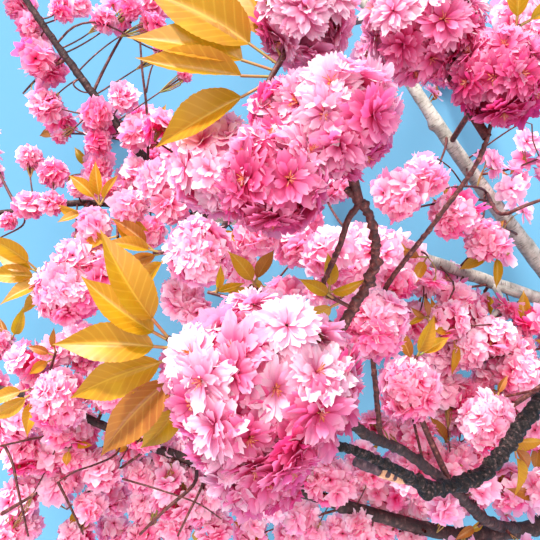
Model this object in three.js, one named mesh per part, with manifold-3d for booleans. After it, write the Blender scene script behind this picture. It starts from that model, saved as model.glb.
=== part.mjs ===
// A cut flowering bough of a double pink cherry, lying on a level surface.
// Millimetres, +Z up. The bough lies spread out: its cut end is at +X, its blossom heads face +Z,
// and the undersides that rest on the surface are pressed flat at z = 0.
import * as THREE from "three";
import { mergeVertices } from "three/addons/utils/BufferGeometryUtils.js";
import Module from "manifold-3d";

const wasm = await Module();
wasm.setup();

// Driving sizes
const JOINT_GAP = 0.45; // clear space between two solids that meet
const LARGE_HEAD = 60; // radius from which a head shows thirty-two flowers instead of twelve
const SUNK_SHARE = 0.82; // a flower's middle, as a share of its head's radius
const RIM_JITTER = 0.1; // how unevenly the flowers stand out, as a share of the head's radius
const HEAD_JITTER = 0.12; // how unevenly the flowers are spread
const LEAF_WIDTH = 0.4; // share of the length
const LEAF_THICKNESS = 0.022; // share of the length
const LEAF_FOLD = 0.1; // how far the midrib lies below the edges, as a share of the length
const LEAF_ROOT = 4; // how deep a leaf starts inside its twig
const LEAF_SPACING = 6; // along the twig, between two leaves
const TWIG_RADIUS = 3.4; // at the foot of a spray's twig
const TWIG_TIP_RADIUS = 1.8;
const STALK_RADIUS = 4.2; // the short spur that carries a large head
const LIMB_STEP = 78; // length of a limb between two rings
const FIRST_CLUSTER = 0.38; // where on its twig a spray's first cluster sits, as a share of its length
const PRESSED = 0.7; // how high a cluster's middle stays above the surface, as a share of its radius
const CLUSTER_OFFSET = 0.66; // side step of a cluster from its twig, as a share of its radius
const SURFACE_BLOCK = 3000;
// Moves the whole so that the middle of its bounding box is over the origin
const CENTRING = new THREE.Vector3(-97, -3, 0);

const BARK_DARK = new THREE.MeshStandardMaterial({ color: 0x33231d, roughness: 0.9, metalness: 0 });
const BARK_PALE = new THREE.MeshStandardMaterial({ color: 0x8d8171, roughness: 0.8, metalness: 0 });
const BLOSSOM = new THREE.MeshStandardMaterial({ color: 0xf0a0c0, roughness: 0.6, metalness: 0 });

// The limbs. Each starts inside the limb it grows from, at the share `at` of that limb's length,
// or carries on from its tip, and is cut clear of it. `through` holds its bends and its tip;
// `thick` its diameters at foot and tip.
const LIMBS = [
  { name: "main_limb", foot: [690, -480, 21], thick: [46, 36], sides: 10, bark: BARK_PALE,
    through: [[640, -340, 72], [562, -170, 140], [478, -35, 200]] },
  { name: "upper_right_bough", foot: [478, -35, 200], thick: [35, 16], sides: 8, bark: BARK_PALE,
    through: [[350, 108, 238], [240, 245, 268], [160, 365, 285], [105, 450, 300]] },
  { name: "cross_bough", from: "main_limb", at: 0.93, thick: [27, 15], sides: 8, bark: BARK_PALE,
    through: [[358, -24, 250], [281, 2, 265], [150, 38, 290], [20, 62, 330], [-105, 72, 372]] },
  { name: "upper_left_bough", from: "cross_bough", at: 0.97, thick: [15, 7], sides: 7, bark: BARK_DARK,
    through: [[-151, 131, 390], [-249, 256, 410], [-305, 338, 428], [-345, 405, 440]] },
  { name: "left_bough", from: "cross_bough", at: 0.99, thick: [11, 6], sides: 6, bark: BARK_DARK,
    through: [[-230, 86, 408], [-336, 72, 425], [-400, 62, 440]] },
  { name: "low_bough", from: "main_limb", at: 0.3, thick: [30, 9], sides: 8, bark: BARK_DARK,
    through: [[480, -420, 170], [294, -412, 245], [167, -374, 270], [49, -330, 290], [-148, -264, 312],
      [-327, -178, 345], [-430, -150, 360]] },
  { name: "rising_bough", from: "main_limb", at: 0.8, thick: [25, 18], sides: 8, bark: BARK_DARK,
    through: [[478, -108, 320], [392, -128, 420], [315, -152, 478], [246, -192, 538]] },
  { name: "front_bough", foot: [246, -192, 538], thick: [18, 7], sides: 8, bark: BARK_DARK,
    through: [[208, -207, 572], [151, -204, 606], [114, -177, 640], [75, -151, 672], [42, -134, 697]] },
  { name: "middle_bough", from: "low_bough", at: 0.24, thick: [17, 10], sides: 7, bark: BARK_DARK,
    through: [[316, -367, 300], [239, -286, 390], [164, -219, 460], [90, -163, 548], [62, -112, 598],
      [63, -54, 630]] },
  { name: "high_twig", foot: [63, -54, 630], thick: [10, 6.5], sides: 7, bark: BARK_DARK,
    through: [[88, 4, 660], [81, 42, 682], [60, 64, 694]] },
  { name: "right_twig", from: "middle_bough", at: 0.7, thick: [8, 5.5], sides: 6, bark: BARK_DARK,
    through: [[120, -133, 492], [114, -63, 500], [120, -15, 560], [159, 51, 608], [188, 100, 630],
      [194, 128, 642]] },
];

// The large heads. `balls` holds the middle and radius of each rounded part that its flowers cover.
// `leaves` is a fan: the point it spreads from, the way of its middle leaf and its spread in degrees.
const BLOOMS = [
  { name: "bloom_front_low", limb: "middle_bough", at: 0.86,
    balls: [[-6, -86, 728, 74], [-40, -80, 714, 48], [28, -84, 716, 46], [-12, -136, 718, 50]],
    leaves: { from: [-76, -50, 722], heading: 186, spread: 120, count: 6, length: 97 } },
  { name: "bloom_front_high", limb: "high_twig", at: 0.9,
    balls: [[53, 112, 722, 49], [3, 66, 728, 48], [16, 116, 702, 40]] },
  { name: "bloom_left_high", limb: "cross_bough", at: 0.8, balls: [[-42, 92, 622, 52]] },
  { name: "bloom_top", limb: "upper_right_bough", at: 0.86, balls: [[30, 214, 660, 48]],
    leaves: { from: [-3, 155, 664], heading: 149, spread: -114, count: 6, length: 124 } },
  { name: "bloom_top_right", limb: "right_twig", at: 0.97,
    balls: [[138, 222, 628, 58], [200, 166, 650, 48]],
    leaves: { from: [210, 208, 660], heading: 60, spread: 60, count: 2, length: 60 } },
  { name: "bloom_corner", limb: "upper_right_bough", at: 0.5, balls: [[278, 262, 530, 46]] },
  { name: "bloom_white", limb: "cross_bough", at: 0.92, balls: [[-78, 18, 512, 44]],
    leaves: { from: [-130, 20, 505], heading: 180, spread: 84, count: 4, length: 60 } },
  { name: "bloom_left", limb: "left_bough", at: 0.45, balls: [[-238, -26, 470, 44], [-192, -2, 462, 36]],
    leaves: { from: [-270, 0, 478], heading: 178, spread: 84, count: 5, length: 66 } },
  { name: "bloom_right", limb: "right_twig", at: 0.34, balls: [[106, -55, 556, 42]] },
  { name: "bloom_low_left", limb: "low_bough", at: 0.88,
    balls: [[-262, -160, 432, 42], [-200, -148, 412, 38]],
    leaves: { from: [-296, -146, 440], heading: 215, spread: 60, count: 3, length: 58 } },
  { name: "bloom_low_right", limb: "middle_bough", at: 0.42, balls: [[170, -146, 440, 44]],
    leaves: { from: [178, -104, 446], heading: 70, spread: 70, count: 3, length: 56 } },
  { name: "bloom_far_right", limb: "rising_bough", at: 0.42, balls: [[286, -200, 392, 44]],
    leaves: { from: [320, -232, 396], heading: 320, spread: 80, count: 3, length: 60 } },
];

// The sprays: a thin twig from a limb to its tip, with small clusters on it and a few leaves at its end
const SPRAYS = [
  { name: "spray_upper_left_a", limb: "upper_left_bough", at: 0.88, tip: [-402, 342, 400],
    clusters: 3, radius: 27 },
  { name: "spray_upper_left_b", limb: "upper_left_bough", at: 0.62, tip: [-330, 236, 376],
    clusters: 3, radius: 27 },
  { name: "spray_upper_left_c", limb: "upper_left_bough", at: 0.32, tip: [-300, 196, 316],
    clusters: 3, radius: 28 },
  { name: "spray_upper_left_d", limb: "upper_left_bough", at: 0.5, tip: [-172, 372, 350],
    clusters: 3, radius: 27 },
  { name: "spray_left_a", limb: "left_bough", at: 0.72, tip: [-392, 162, 330], clusters: 3, radius: 27 },
  { name: "spray_left_b", limb: "left_bough", at: 0.22, tip: [-262, 150, 280], clusters: 3, radius: 28 },
  { name: "spray_left_c", limb: "left_bough", at: 0.8, tip: [-462, -16, 330], clusters: 3, radius: 29 },
  { name: "spray_low_left_a", limb: "low_bough", at: 0.9, tip: [-386, -104, 290], clusters: 2, radius: 29 },
  { name: "spray_low_left_b", limb: "low_bough", at: 0.8, tip: [-372, -318, 216], clusters: 4, radius: 32 },
  { name: "spray_low_left_c", limb: "low_bough", at: 0.7, tip: [-268, -412, 180], clusters: 4, radius: 34 },
  { name: "spray_low_left_d", limb: "low_bough", at: 0.62, tip: [-128, -402, 250],
    clusters: 3, radius: 33 },
  { name: "spray_low_a", limb: "low_bough", at: 0.5, tip: [-16, -446, 170], clusters: 3, radius: 36 },
  { name: "spray_low_b", limb: "low_bough", at: 0.4, tip: [128, -450, 190], clusters: 3, radius: 36 },
  { name: "spray_low_c", limb: "low_bough", at: 0.27, tip: [236, -372, 330], clusters: 3, radius: 32 },
  { name: "spray_low_right_a", limb: "low_bough", at: 0.12, tip: [372, -318, 346],
    clusters: 3, radius: 38 },
  { name: "spray_right_a", limb: "main_limb", at: 0.62, tip: [352, -186, 280], clusters: 4, radius: 36 },
  { name: "spray_right_b", limb: "cross_bough", at: 0.16, tip: [244, -92, 352], clusters: 3, radius: 35 },
  { name: "spray_right_c", limb: "upper_right_bough", at: 0.12, tip: [424, -30, 300],
    clusters: 3, radius: 34 },
  { name: "spray_right_d", limb: "upper_right_bough", at: 0.26, tip: [314, 22, 330],
    clusters: 3, radius: 33 },
  { name: "spray_right_e", limb: "upper_right_bough", at: 0.4, tip: [420, 176, 280],
    clusters: 3, radius: 34 },
  { name: "spray_right_f", limb: "upper_right_bough", at: 0.52, tip: [224, 124, 344],
    clusters: 3, radius: 31 },
  { name: "spray_centre_a", limb: "cross_bough", at: 0.5, tip: [206, 16, 396], clusters: 2, radius: 34 },
  { name: "spray_centre_b", limb: "cross_bough", at: 0.9, tip: [-136, 152, 470], clusters: 3, radius: 29 },
  { name: "spray_top_a", limb: "upper_right_bough", at: 0.92, tip: [-40, 440, 240],
    clusters: 3, radius: 36 },
  { name: "spray_top_b", limb: "upper_right_bough", at: 0.7, tip: [330, 430, -8], clusters: 4, radius: 36 },
  { name: "spray_under_left", limb: "cross_bough", at: 0.96, tip: [-300, 300, -8],
    clusters: 4, radius: 36 },
  { name: "spray_under_far_left", limb: "low_bough", at: 0.84, tip: [-470, -262, -8],
    clusters: 4, radius: 36 },
  { name: "spray_under_middle", limb: "low_bough", at: 0.55, tip: [-80, -180, -8],
    clusters: 4, radius: 36 },
  { name: "spray_under_top", limb: "cross_bough", at: 0.62, tip: [90, 260, -8], clusters: 4, radius: 36 },
  { name: "spray_right_g", limb: "cross_bough", at: 0.34, tip: [262, -60, 300], clusters: 2, radius: 34 },
  { name: "spray_right_h", limb: "main_limb", at: 0.9, tip: [432, -106, 300], clusters: 3, radius: 35 },
  { name: "spray_low_right_b", limb: "main_limb", at: 0.4, tip: [404, -262, 270], clusters: 3, radius: 36 },
  { name: "spray_centre_c", limb: "cross_bough", at: 0.68, tip: [2, -24, 400], clusters: 2, radius: 33 },
];

const vector = (p) => new THREE.Vector3(...p);

// The same numbers each time: a 32-bit congruential generator
function randomFrom(seed) {
  let state = (seed * 2654435761) >>> 0;
  return () => {
    state = (Math.imul(state, 1664525) + 1013904223) >>> 0;
    return state / 4294967296;
  };
}

function solidOf(geometry) {
  const bare = geometry.clone();
  bare.deleteAttribute("normal");
  bare.deleteAttribute("uv");
  const merged = mergeVertices(bare, 1e-4);
  return new wasm.Manifold(new wasm.Mesh({
    numProp: 3,
    vertProperties: new Float32Array(merged.attributes.position.array),
    triVerts: new Uint32Array(merged.index.array),
  }));
}

function meshOf(name, solid, material) {
  const { vertProperties, triVerts, numProp } = solid.getMesh();
  const geometry = new THREE.BufferGeometry();
  const points = new Float32Array((vertProperties.length / numProp) * 3);
  for (let i = 0; i < points.length / 3; i++) {
    points.set(vertProperties.subarray(i * numProp, i * numProp + 3), i * 3);
  }
  geometry.setAttribute("position", new THREE.BufferAttribute(points, 3));
  geometry.setIndex(new THREE.BufferAttribute(new Uint32Array(triVerts), 1));
  geometry.computeVertexNormals();
  const mesh = new THREE.Mesh(geometry, material);
  mesh.name = name;
  return mesh;
}

// A closed cylinder bent along a curve, whose radius follows radiusAt(share of the length).
// `extra` is added all round and beyond both ends.
function taperedTube(curve, radiusAt, sides, steps, extra = 0) {
  const tube = new THREE.CylinderGeometry(1, 1, 1, sides, steps);
  const { tangents, normals, binormals } = curve.computeFrenetFrames(steps);
  const place = tube.attributes.position;
  for (let i = 0; i < place.count; i++) {
    const ring = Math.round((place.getY(i) + 0.5) * steps);
    const radius = radiusAt(ring / steps) + extra;
    const beyond = ring === 0 ? -extra : ring === steps ? extra : 0;
    const point = curve.getPointAt(ring / steps)
      .addScaledVector(binormals[ring], place.getX(i) * radius)
      .addScaledVector(normals[ring], place.getZ(i) * radius)
      .addScaledVector(tangents[ring], beyond);
    place.setXYZ(i, point.x, point.y, point.z);
  }
  return solidOf(tube);
}

// Where a limb runs: from its foot, or from a place inside another limb, through its bends
function limbCurve(limb, curves) {
  const foot = limb.from ? curves[limb.from].getPointAt(limb.at) : vector(limb.foot);
  return new THREE.CatmullRomCurve3([foot, ...limb.through.map(vector)], false, "centripetal");
}

function limbSolid(limb, curve, extra) {
  const [foot, tip] = limb.thick;
  const steps = Math.max(3, Math.round(curve.getLength() / LIMB_STEP));
  return taperedTube(curve, (t) => (foot + (tip - foot) * t) / 2, limb.sides, steps, extra);
}

// The middles of the flowers on a ball, as directions: the twelve corners of an icosahedron,
// and on a large head the middles of its twenty faces as well.
function flowerMiddles(large) {
  const place = new THREE.IcosahedronGeometry(1, 0).attributes.position;
  const middles = [];
  for (let i = 0; i < place.count; i += 3) {
    const corners = [0, 1, 2].map((k) => new THREE.Vector3().fromBufferAttribute(place, i + k));
    middles.push(...corners);
    if (large) {
      middles.push(corners[0].clone().add(corners[1]).add(corners[2]).normalize());
    }
  }
  return middles;
}

// A head of double flowers: each flower is a dished facet of a ball, its middle sunk below its rim
function headSolid([x, y, z, radius], random) {
  const large = radius > LARGE_HEAD;
  const ball = new THREE.IcosahedronGeometry(1, large ? 2 : 1);
  ball.deleteAttribute("normal");
  ball.deleteAttribute("uv");
  const head = mergeVertices(ball, 1e-4);
  const middles = flowerMiddles(large);
  const turn = new THREE.Euler(random() * 6, random() * 6, random() * 6);
  const place = head.attributes.position;
  for (let i = 0; i < place.count; i++) {
    const point = new THREE.Vector3().fromBufferAttribute(place, i);
    const sunk = middles.some((m) => m.dot(point) > 0.999);
    const jitter = new THREE.Vector3(random() - 0.5, random() - 0.5, random() - 0.5);
    point.addScaledVector(jitter, HEAD_JITTER).normalize();
    point.multiplyScalar(radius * (sunk ? SUNK_SHARE : 1 - RIM_JITTER * random()));
    point.applyEuler(turn).add(new THREE.Vector3(x, y, z));
    place.setXYZ(i, point.x, point.y, point.z);
  }
  return solidOf(head);
}

// A small cluster: twelve flowers seen as the faces of a rough twelve-faced ball
function clusterSolid([x, y, z, radius], random) {
  const ball = new THREE.DodecahedronGeometry(radius, 0);
  const turn = new THREE.Euler(random() * 6, random() * 6, random() * 6);
  const stretch = new THREE.Vector3(1, 0.92 + 0.16 * random(), 0.9 + 0.1 * random());
  const place = new THREE.Matrix4().makeRotationFromEuler(turn).scale(stretch);
  ball.applyMatrix4(place).translate(x, y, z);
  return solidOf(ball);
}

// A leaf folded along its midrib: an eight-faced solid from its foot to its long tip
function leafSolid({ root, along, up, length }) {
  const blade = new THREE.OctahedronGeometry(1, 0);
  const side = new THREE.Vector3().crossVectors(up, along).normalize();
  const top = new THREE.Vector3().crossVectors(along, side).normalize();
  const foot = root.clone().addScaledVector(along, -LEAF_ROOT);
  const place = blade.attributes.position;
  for (let i = 0; i < place.count; i++) {
    const [x, y, z] = [place.getX(i), place.getY(i), place.getZ(i)];
    const forward = Math.abs(x) > 0.5 ? (x + 1) / 2 : 0.4;
    const lift = (Math.abs(y) > 0.5 ? LEAF_FOLD : 0) + z * LEAF_THICKNESS * 0.7;
    const point = foot.clone()
      .addScaledVector(along, forward * length)
      .addScaledVector(side, (y * LEAF_WIDTH * length) / 2)
      .addScaledVector(top, lift * length);
    place.setXYZ(i, point.x, point.y, point.z);
  }
  return solidOf(blade);
}

// The leaves of a fan, spread evenly about its heading, each a little up or down by a seeded rule
function fanOfLeaves(fan, random) {
  const leaves = [];
  for (let i = 0; i < fan.count; i++) {
    const share = fan.count > 1 ? i / (fan.count - 1) - 0.5 : 0;
    const angle = THREE.MathUtils.degToRad(fan.heading + share * fan.spread + (random() - 0.5) * 10);
    const pitch = (random() - 0.45) * 0.7;
    const roll = (random() - 0.5) * 1.1;
    const length = fan.length * (0.86 + 0.28 * random());
    const along = new THREE.Vector3(
      Math.cos(angle) * Math.cos(pitch), Math.sin(angle) * Math.cos(pitch), Math.sin(pitch));
    const up = new THREE.Vector3(0, 0, 1).applyAxisAngle(along, roll);
    const root = fan.twig.getPointAt(1 - (LEAF_SPACING * (i + 0.4)) / fan.twig.getLength());
    leaves.push({ root, along, up, length });
  }
  return leaves;
}

// A large head: its balls of flowers and its leaves, on a spur that reaches back to its limb
function bloomSolid(bloom, curves, seed) {
  const random = randomFrom(seed);
  const foot = curves[bloom.limb].getPointAt(bloom.at);
  const middle = vector(bloom.balls[0].slice(0, 3));
  const sag = foot.clone().lerp(middle, 0.5);
  sag.z -= foot.distanceTo(middle) * 0.08;
  const spur = new THREE.QuadraticBezierCurve3(foot, sag, middle);
  const parts = [taperedTube(spur, (t) => STALK_RADIUS * (1.1 - 0.3 * t), 4, 3)];
  parts.push(...bloom.balls.map((ball) => headSolid(ball, random)));
  if (bloom.leaves) {
    const root = vector(bloom.leaves.from);
    const nearest = bloom.balls.map((b) => vector(b.slice(0, 3)))
      .sort((a, b) => a.distanceTo(root) - b.distanceTo(root))[0];
    const twig = new THREE.LineCurve3(nearest, root);
    parts.push(taperedTube(twig, () => TWIG_RADIUS, 3, 1));
    parts.push(...fanOfLeaves({ ...bloom.leaves, twig }, random).map(leafSolid));
  }
  return parts;
}

// Where a spray's clusters sit: spread from FIRST_CLUSTER to the tip, on alternate sides of the twig
function clustersOn(spray, twig, random) {
  const clusters = [];
  for (let i = 0; i < spray.clusters; i++) {
    const share = FIRST_CLUSTER + ((1 - FIRST_CLUSTER) * i) / (spray.clusters - 1);
    const radius = spray.radius * (0.86 + 0.24 * random());
    const turn = i * Math.PI + (random() - 0.5) * 1.6;
    const along = twig.getTangentAt(share);
    const side = new THREE.Vector3().crossVectors(along, new THREE.Vector3(0, 0, 1)).normalize();
    const rise = new THREE.Vector3().crossVectors(side, along);
    const centre = twig.getPointAt(share)
      .addScaledVector(side, Math.cos(turn) * radius * CLUSTER_OFFSET)
      .addScaledVector(rise, Math.abs(Math.sin(turn)) * radius * CLUSTER_OFFSET);
    clusters.push([centre.x, centre.y, Math.max(centre.z, radius * PRESSED), radius]);
  }
  return clusters;
}

function sprayTwig(spray, curves, random) {
  const foot = curves[spray.limb].getPointAt(spray.at);
  const tip = vector(spray.tip);
  const length = foot.distanceTo(tip);
  const bend = foot.clone().lerp(tip, 0.45);
  bend.x += (random() - 0.5) * length * 0.24;
  bend.y += (random() - 0.5) * length * 0.24;
  bend.z += length * 0.1;
  return new THREE.QuadraticBezierCurve3(foot, bend, tip);
}

function spraySolid(spray, curves, seed) {
  const random = randomFrom(seed);
  const twig = sprayTwig(spray, curves, random);
  const taper = (t) => TWIG_RADIUS + (TWIG_TIP_RADIUS - TWIG_RADIUS) * t;
  const parts = [taperedTube(twig, taper, 3, 3)];
  const clusters = clustersOn(spray, twig, random);
  parts.push(...clusters.map((ball) => clusterSolid(ball, random)));
  const way = twig.getTangentAt(1);
  const heading = THREE.MathUtils.radToDeg(Math.atan2(way.y, way.x));
  const fan = { twig, heading, spread: 130, count: 3, length: 52 };
  parts.push(...fanOfLeaves(fan, random).map(leafSolid));
  return parts;
}

const boxesMeet = (a, b) => {
  const [p, q] = [a.boundingBox(), b.boundingBox()];
  return [0, 1, 2].every((k) => p.min[k] <= q.max[k] && q.min[k] <= p.max[k]);
};

// Joins a mass from its pieces, leaving out each piece that would enter another mass,
// then cuts it clear of the limbs and of the surface and drops what comes loose.
function massOf(name, parts, neighbours, cutters) {
  const near = neighbours.filter((n) => parts.some((p) => boxesMeet(p, n)));
  const kept = parts.filter((p) => near.every((n) => !boxesMeet(p, n) || p.intersect(n).volume() < 1e-6));
  if (kept[0] !== parts[0]) {
    blocked.push(name);
  }
  let mass = wasm.Manifold.union(kept);
  for (const cutter of cutters) {
    if (boxesMeet(mass, cutter)) {
      mass = mass.subtract(cutter);
    }
  }
  return mass.decompose().sort((a, b) => b.volume() - a.volume())[0];
}

const bough = new THREE.Group();
const curves = {};
const fatLimbs = [];
const surface = solidOf(
  new THREE.BoxGeometry(SURFACE_BLOCK, SURFACE_BLOCK, SURFACE_BLOCK).translate(0, 0, -SURFACE_BLOCK / 2));

for (const limb of LIMBS) {
  curves[limb.name] = limbCurve(limb, curves);
}
for (const limb of LIMBS) {
  let solid = limbSolid(limb, curves[limb.name], 0).subtract(surface);
  for (const fat of fatLimbs) {
    if (boxesMeet(solid, fat)) {
      solid = solid.subtract(fat);
    }
  }
  const whole = solid.decompose().sort((a, b) => b.volume() - a.volume())[0];
  fatLimbs.push(limbSolid(limb, curves[limb.name], JOINT_GAP));
  bough.add(meshOf(limb.name, whole, limb.bark));
}

const cutters = [surface, ...fatLimbs];
const masses = [];
const blocked = [];
BLOOMS.forEach((bloom, i) => {
  const mass = massOf(bloom.name, bloomSolid(bloom, curves, i + 1), masses, cutters);
  masses.push(mass);
  bough.add(meshOf(bloom.name, mass, BLOSSOM));
});
SPRAYS.forEach((spray, i) => {
  const mass = massOf(spray.name, spraySolid(spray, curves, i + 101), masses, cutters);
  masses.push(mass);
  bough.add(meshOf(spray.name, mass, BLOSSOM));
});

if (blocked.length > 0) {
  throw new Error(`the stalk runs through another mass: ${blocked.join(", ")}`);
}
bough.position.copy(CENTRING);

export default bough;
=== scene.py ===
"""A cut flowering bough of a double pink cherry, lying on a pale floor and seen from above.

Lengths are in the bough's own millimetres until a piece is finished. The limbs, spurs, twigs,
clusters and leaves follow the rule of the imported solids, and finer stalks, flowers and leaves
grow from them. The seeds, the order of draws and the named sizes below have to stay as they
are, or the twigs part from their solids.
"""
import math

import bmesh
import bpy
import numpy as np
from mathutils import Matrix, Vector, noise


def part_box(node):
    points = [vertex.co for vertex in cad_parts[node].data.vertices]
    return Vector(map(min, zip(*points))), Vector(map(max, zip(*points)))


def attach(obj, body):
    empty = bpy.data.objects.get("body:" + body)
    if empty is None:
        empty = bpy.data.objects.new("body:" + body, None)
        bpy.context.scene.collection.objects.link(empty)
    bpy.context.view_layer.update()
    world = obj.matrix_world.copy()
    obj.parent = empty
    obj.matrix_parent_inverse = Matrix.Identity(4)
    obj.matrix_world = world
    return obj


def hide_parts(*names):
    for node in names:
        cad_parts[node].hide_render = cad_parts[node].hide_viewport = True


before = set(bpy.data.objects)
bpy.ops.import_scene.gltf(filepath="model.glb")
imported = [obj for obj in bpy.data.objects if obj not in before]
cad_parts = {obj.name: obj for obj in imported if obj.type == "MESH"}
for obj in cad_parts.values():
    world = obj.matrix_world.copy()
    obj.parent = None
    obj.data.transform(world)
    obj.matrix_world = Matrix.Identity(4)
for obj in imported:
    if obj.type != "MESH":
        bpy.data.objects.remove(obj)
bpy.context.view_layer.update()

MM = 0.001
CENTRING = np.array([-97.0, -3.0, 0.0])  # from the bough's own millimetres to the frame's
UP = np.array([0.0, 0.0, 1.0])
BOX = np.array([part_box(name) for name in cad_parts])
BOX = np.array([BOX[:, 0].min(axis=0), BOX[:, 1].max(axis=0)]) / MM - CENTRING

# Limbs: name, limb it grows from and share of that limb's length (or the point it starts from),
# diameters at foot and tip, and the points it runs through
LIMBS = [
    ("main_limb", (690, -480, 21), (46, 36),
     [(640, -340, 72), (562, -170, 140), (478, -35, 200)]),
    ("upper_right_bough", (478, -35, 200), (35, 16),
     [(350, 108, 238), (240, 245, 268), (160, 365, 285), (105, 450, 300)]),
    ("cross_bough", ("main_limb", 0.93), (27, 15),
     [(358, -24, 250), (281, 2, 265), (150, 38, 290), (20, 62, 330), (-105, 72, 372)]),
    ("upper_left_bough", ("cross_bough", 0.97), (15, 7),
     [(-151, 131, 390), (-249, 256, 410), (-305, 338, 428), (-345, 405, 440)]),
    ("left_bough", ("cross_bough", 0.99), (11, 6),
     [(-230, 86, 408), (-336, 72, 425), (-400, 62, 440)]),
    ("low_bough", ("main_limb", 0.3), (30, 9),
     [(480, -420, 170), (294, -412, 245), (167, -374, 270), (49, -330, 290), (-148, -264, 312),
      (-327, -178, 345), (-430, -150, 360)]),
    ("rising_bough", ("main_limb", 0.8), (25, 18),
     [(478, -108, 320), (392, -128, 420), (315, -152, 478), (246, -192, 538)]),
    ("front_bough", (246, -192, 538), (18, 7),
     [(208, -207, 572), (151, -204, 606), (114, -177, 640), (75, -151, 672), (42, -134, 697)]),
    ("middle_bough", ("low_bough", 0.24), (17, 10),
     [(316, -367, 300), (239, -286, 390), (164, -219, 460), (90, -163, 548), (62, -112, 598),
      (63, -54, 630)]),
    ("high_twig", (63, -54, 630), (10, 6.5),
     [(88, 4, 660), (81, 42, 682), (60, 64, 694)]),
    ("right_twig", ("middle_bough", 0.7), (8, 5.5),
     [(120, -133, 492), (114, -63, 500), (120, -15, 560), (159, 51, 608), (188, 100, 630),
      (194, 128, 642)]),
]

# Large heads: name, limb, share of its length, balls (middle and radius), and a fan of leaves
# (the point it spreads from, heading, spread, count, length)
BLOOMS = [
    ("bloom_front_low", "middle_bough", 0.86,
     [(-6, -86, 728, 74), (-40, -80, 714, 48), (28, -84, 716, 46), (-12, -136, 718, 50)],
     ((-76, -50, 722), 186, 120, 6, 97)),
    ("bloom_front_high", "high_twig", 0.9,
     [(53, 112, 722, 49), (3, 66, 728, 48), (16, 116, 702, 40)], None),
    ("bloom_left_high", "cross_bough", 0.8, [(-42, 92, 622, 52)], None),
    ("bloom_top", "upper_right_bough", 0.86, [(30, 214, 660, 48)],
     ((-3, 155, 664), 149, -114, 6, 124)),
    ("bloom_top_right", "right_twig", 0.97, [(138, 222, 628, 58), (200, 166, 650, 48)],
     ((210, 208, 660), 60, 60, 2, 60)),
    ("bloom_corner", "upper_right_bough", 0.5, [(278, 262, 530, 46)], None),
    ("bloom_white", "cross_bough", 0.92, [(-78, 18, 512, 44)],
     ((-130, 20, 505), 180, 84, 4, 60)),
    ("bloom_left", "left_bough", 0.45, [(-238, -26, 470, 44), (-192, -2, 462, 36)],
     ((-270, 0, 478), 178, 84, 5, 66)),
    ("bloom_right", "right_twig", 0.34, [(106, -55, 556, 42)], None),
    ("bloom_low_left", "low_bough", 0.88, [(-262, -160, 432, 42), (-200, -148, 412, 38)],
     ((-296, -146, 440), 215, 60, 3, 58)),
    ("bloom_low_right", "middle_bough", 0.42, [(170, -146, 440, 44)],
     ((178, -104, 446), 70, 70, 3, 56)),
    ("bloom_far_right", "rising_bough", 0.42, [(286, -200, 392, 44)],
     ((320, -232, 396), 320, 80, 3, 60)),
]

# Sprays: name, limb, share of its length, tip, clusters and their radius
SPRAYS = [
    ("spray_upper_left_a", "upper_left_bough", 0.88, (-402, 342, 400), 3, 27),
    ("spray_upper_left_b", "upper_left_bough", 0.62, (-330, 236, 376), 3, 27),
    ("spray_upper_left_c", "upper_left_bough", 0.32, (-300, 196, 316), 3, 28),
    ("spray_upper_left_d", "upper_left_bough", 0.5, (-172, 372, 350), 3, 27),
    ("spray_left_a", "left_bough", 0.72, (-392, 162, 330), 3, 27),
    ("spray_left_b", "left_bough", 0.22, (-262, 150, 280), 3, 28),
    ("spray_left_c", "left_bough", 0.8, (-462, -16, 330), 3, 29),
    ("spray_low_left_a", "low_bough", 0.9, (-386, -104, 290), 2, 29),
    ("spray_low_left_b", "low_bough", 0.8, (-372, -318, 216), 4, 32),
    ("spray_low_left_c", "low_bough", 0.7, (-268, -412, 180), 4, 34),
    ("spray_low_left_d", "low_bough", 0.62, (-128, -402, 250), 3, 33),
    ("spray_low_a", "low_bough", 0.5, (-16, -446, 170), 3, 36),
    ("spray_low_b", "low_bough", 0.4, (128, -450, 190), 3, 36),
    ("spray_low_c", "low_bough", 0.27, (236, -372, 330), 3, 32),
    ("spray_low_right_a", "low_bough", 0.12, (372, -318, 346), 3, 38),
    ("spray_right_a", "main_limb", 0.62, (352, -186, 280), 4, 36),
    ("spray_right_b", "cross_bough", 0.16, (244, -92, 352), 3, 35),
    ("spray_right_c", "upper_right_bough", 0.12, (424, -30, 300), 3, 34),
    ("spray_right_d", "upper_right_bough", 0.26, (314, 22, 330), 3, 33),
    ("spray_right_e", "upper_right_bough", 0.4, (420, 176, 280), 3, 34),
    ("spray_right_f", "upper_right_bough", 0.52, (224, 124, 344), 3, 31),
    ("spray_centre_a", "cross_bough", 0.5, (206, 16, 396), 2, 34),
    ("spray_centre_b", "cross_bough", 0.9, (-136, 152, 470), 3, 29),
    ("spray_top_a", "upper_right_bough", 0.92, (-40, 440, 240), 3, 36),
    ("spray_top_b", "upper_right_bough", 0.7, (330, 430, -8), 4, 36),
    ("spray_under_left", "cross_bough", 0.96, (-300, 300, -8), 4, 36),
    ("spray_under_far_left", "low_bough", 0.84, (-470, -262, -8), 4, 36),
    ("spray_under_middle", "low_bough", 0.55, (-80, -180, -8), 4, 36),
    ("spray_under_top", "cross_bough", 0.62, (90, 260, -8), 4, 36),
    ("spray_right_g", "cross_bough", 0.34, (262, -60, 300), 2, 34),
    ("spray_right_h", "main_limb", 0.9, (432, -106, 300), 3, 35),
    ("spray_low_right_b", "main_limb", 0.4, (404, -262, 270), 3, 36),
    ("spray_centre_c", "cross_bough", 0.68, (2, -24, 400), 2, 33),
]

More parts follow.
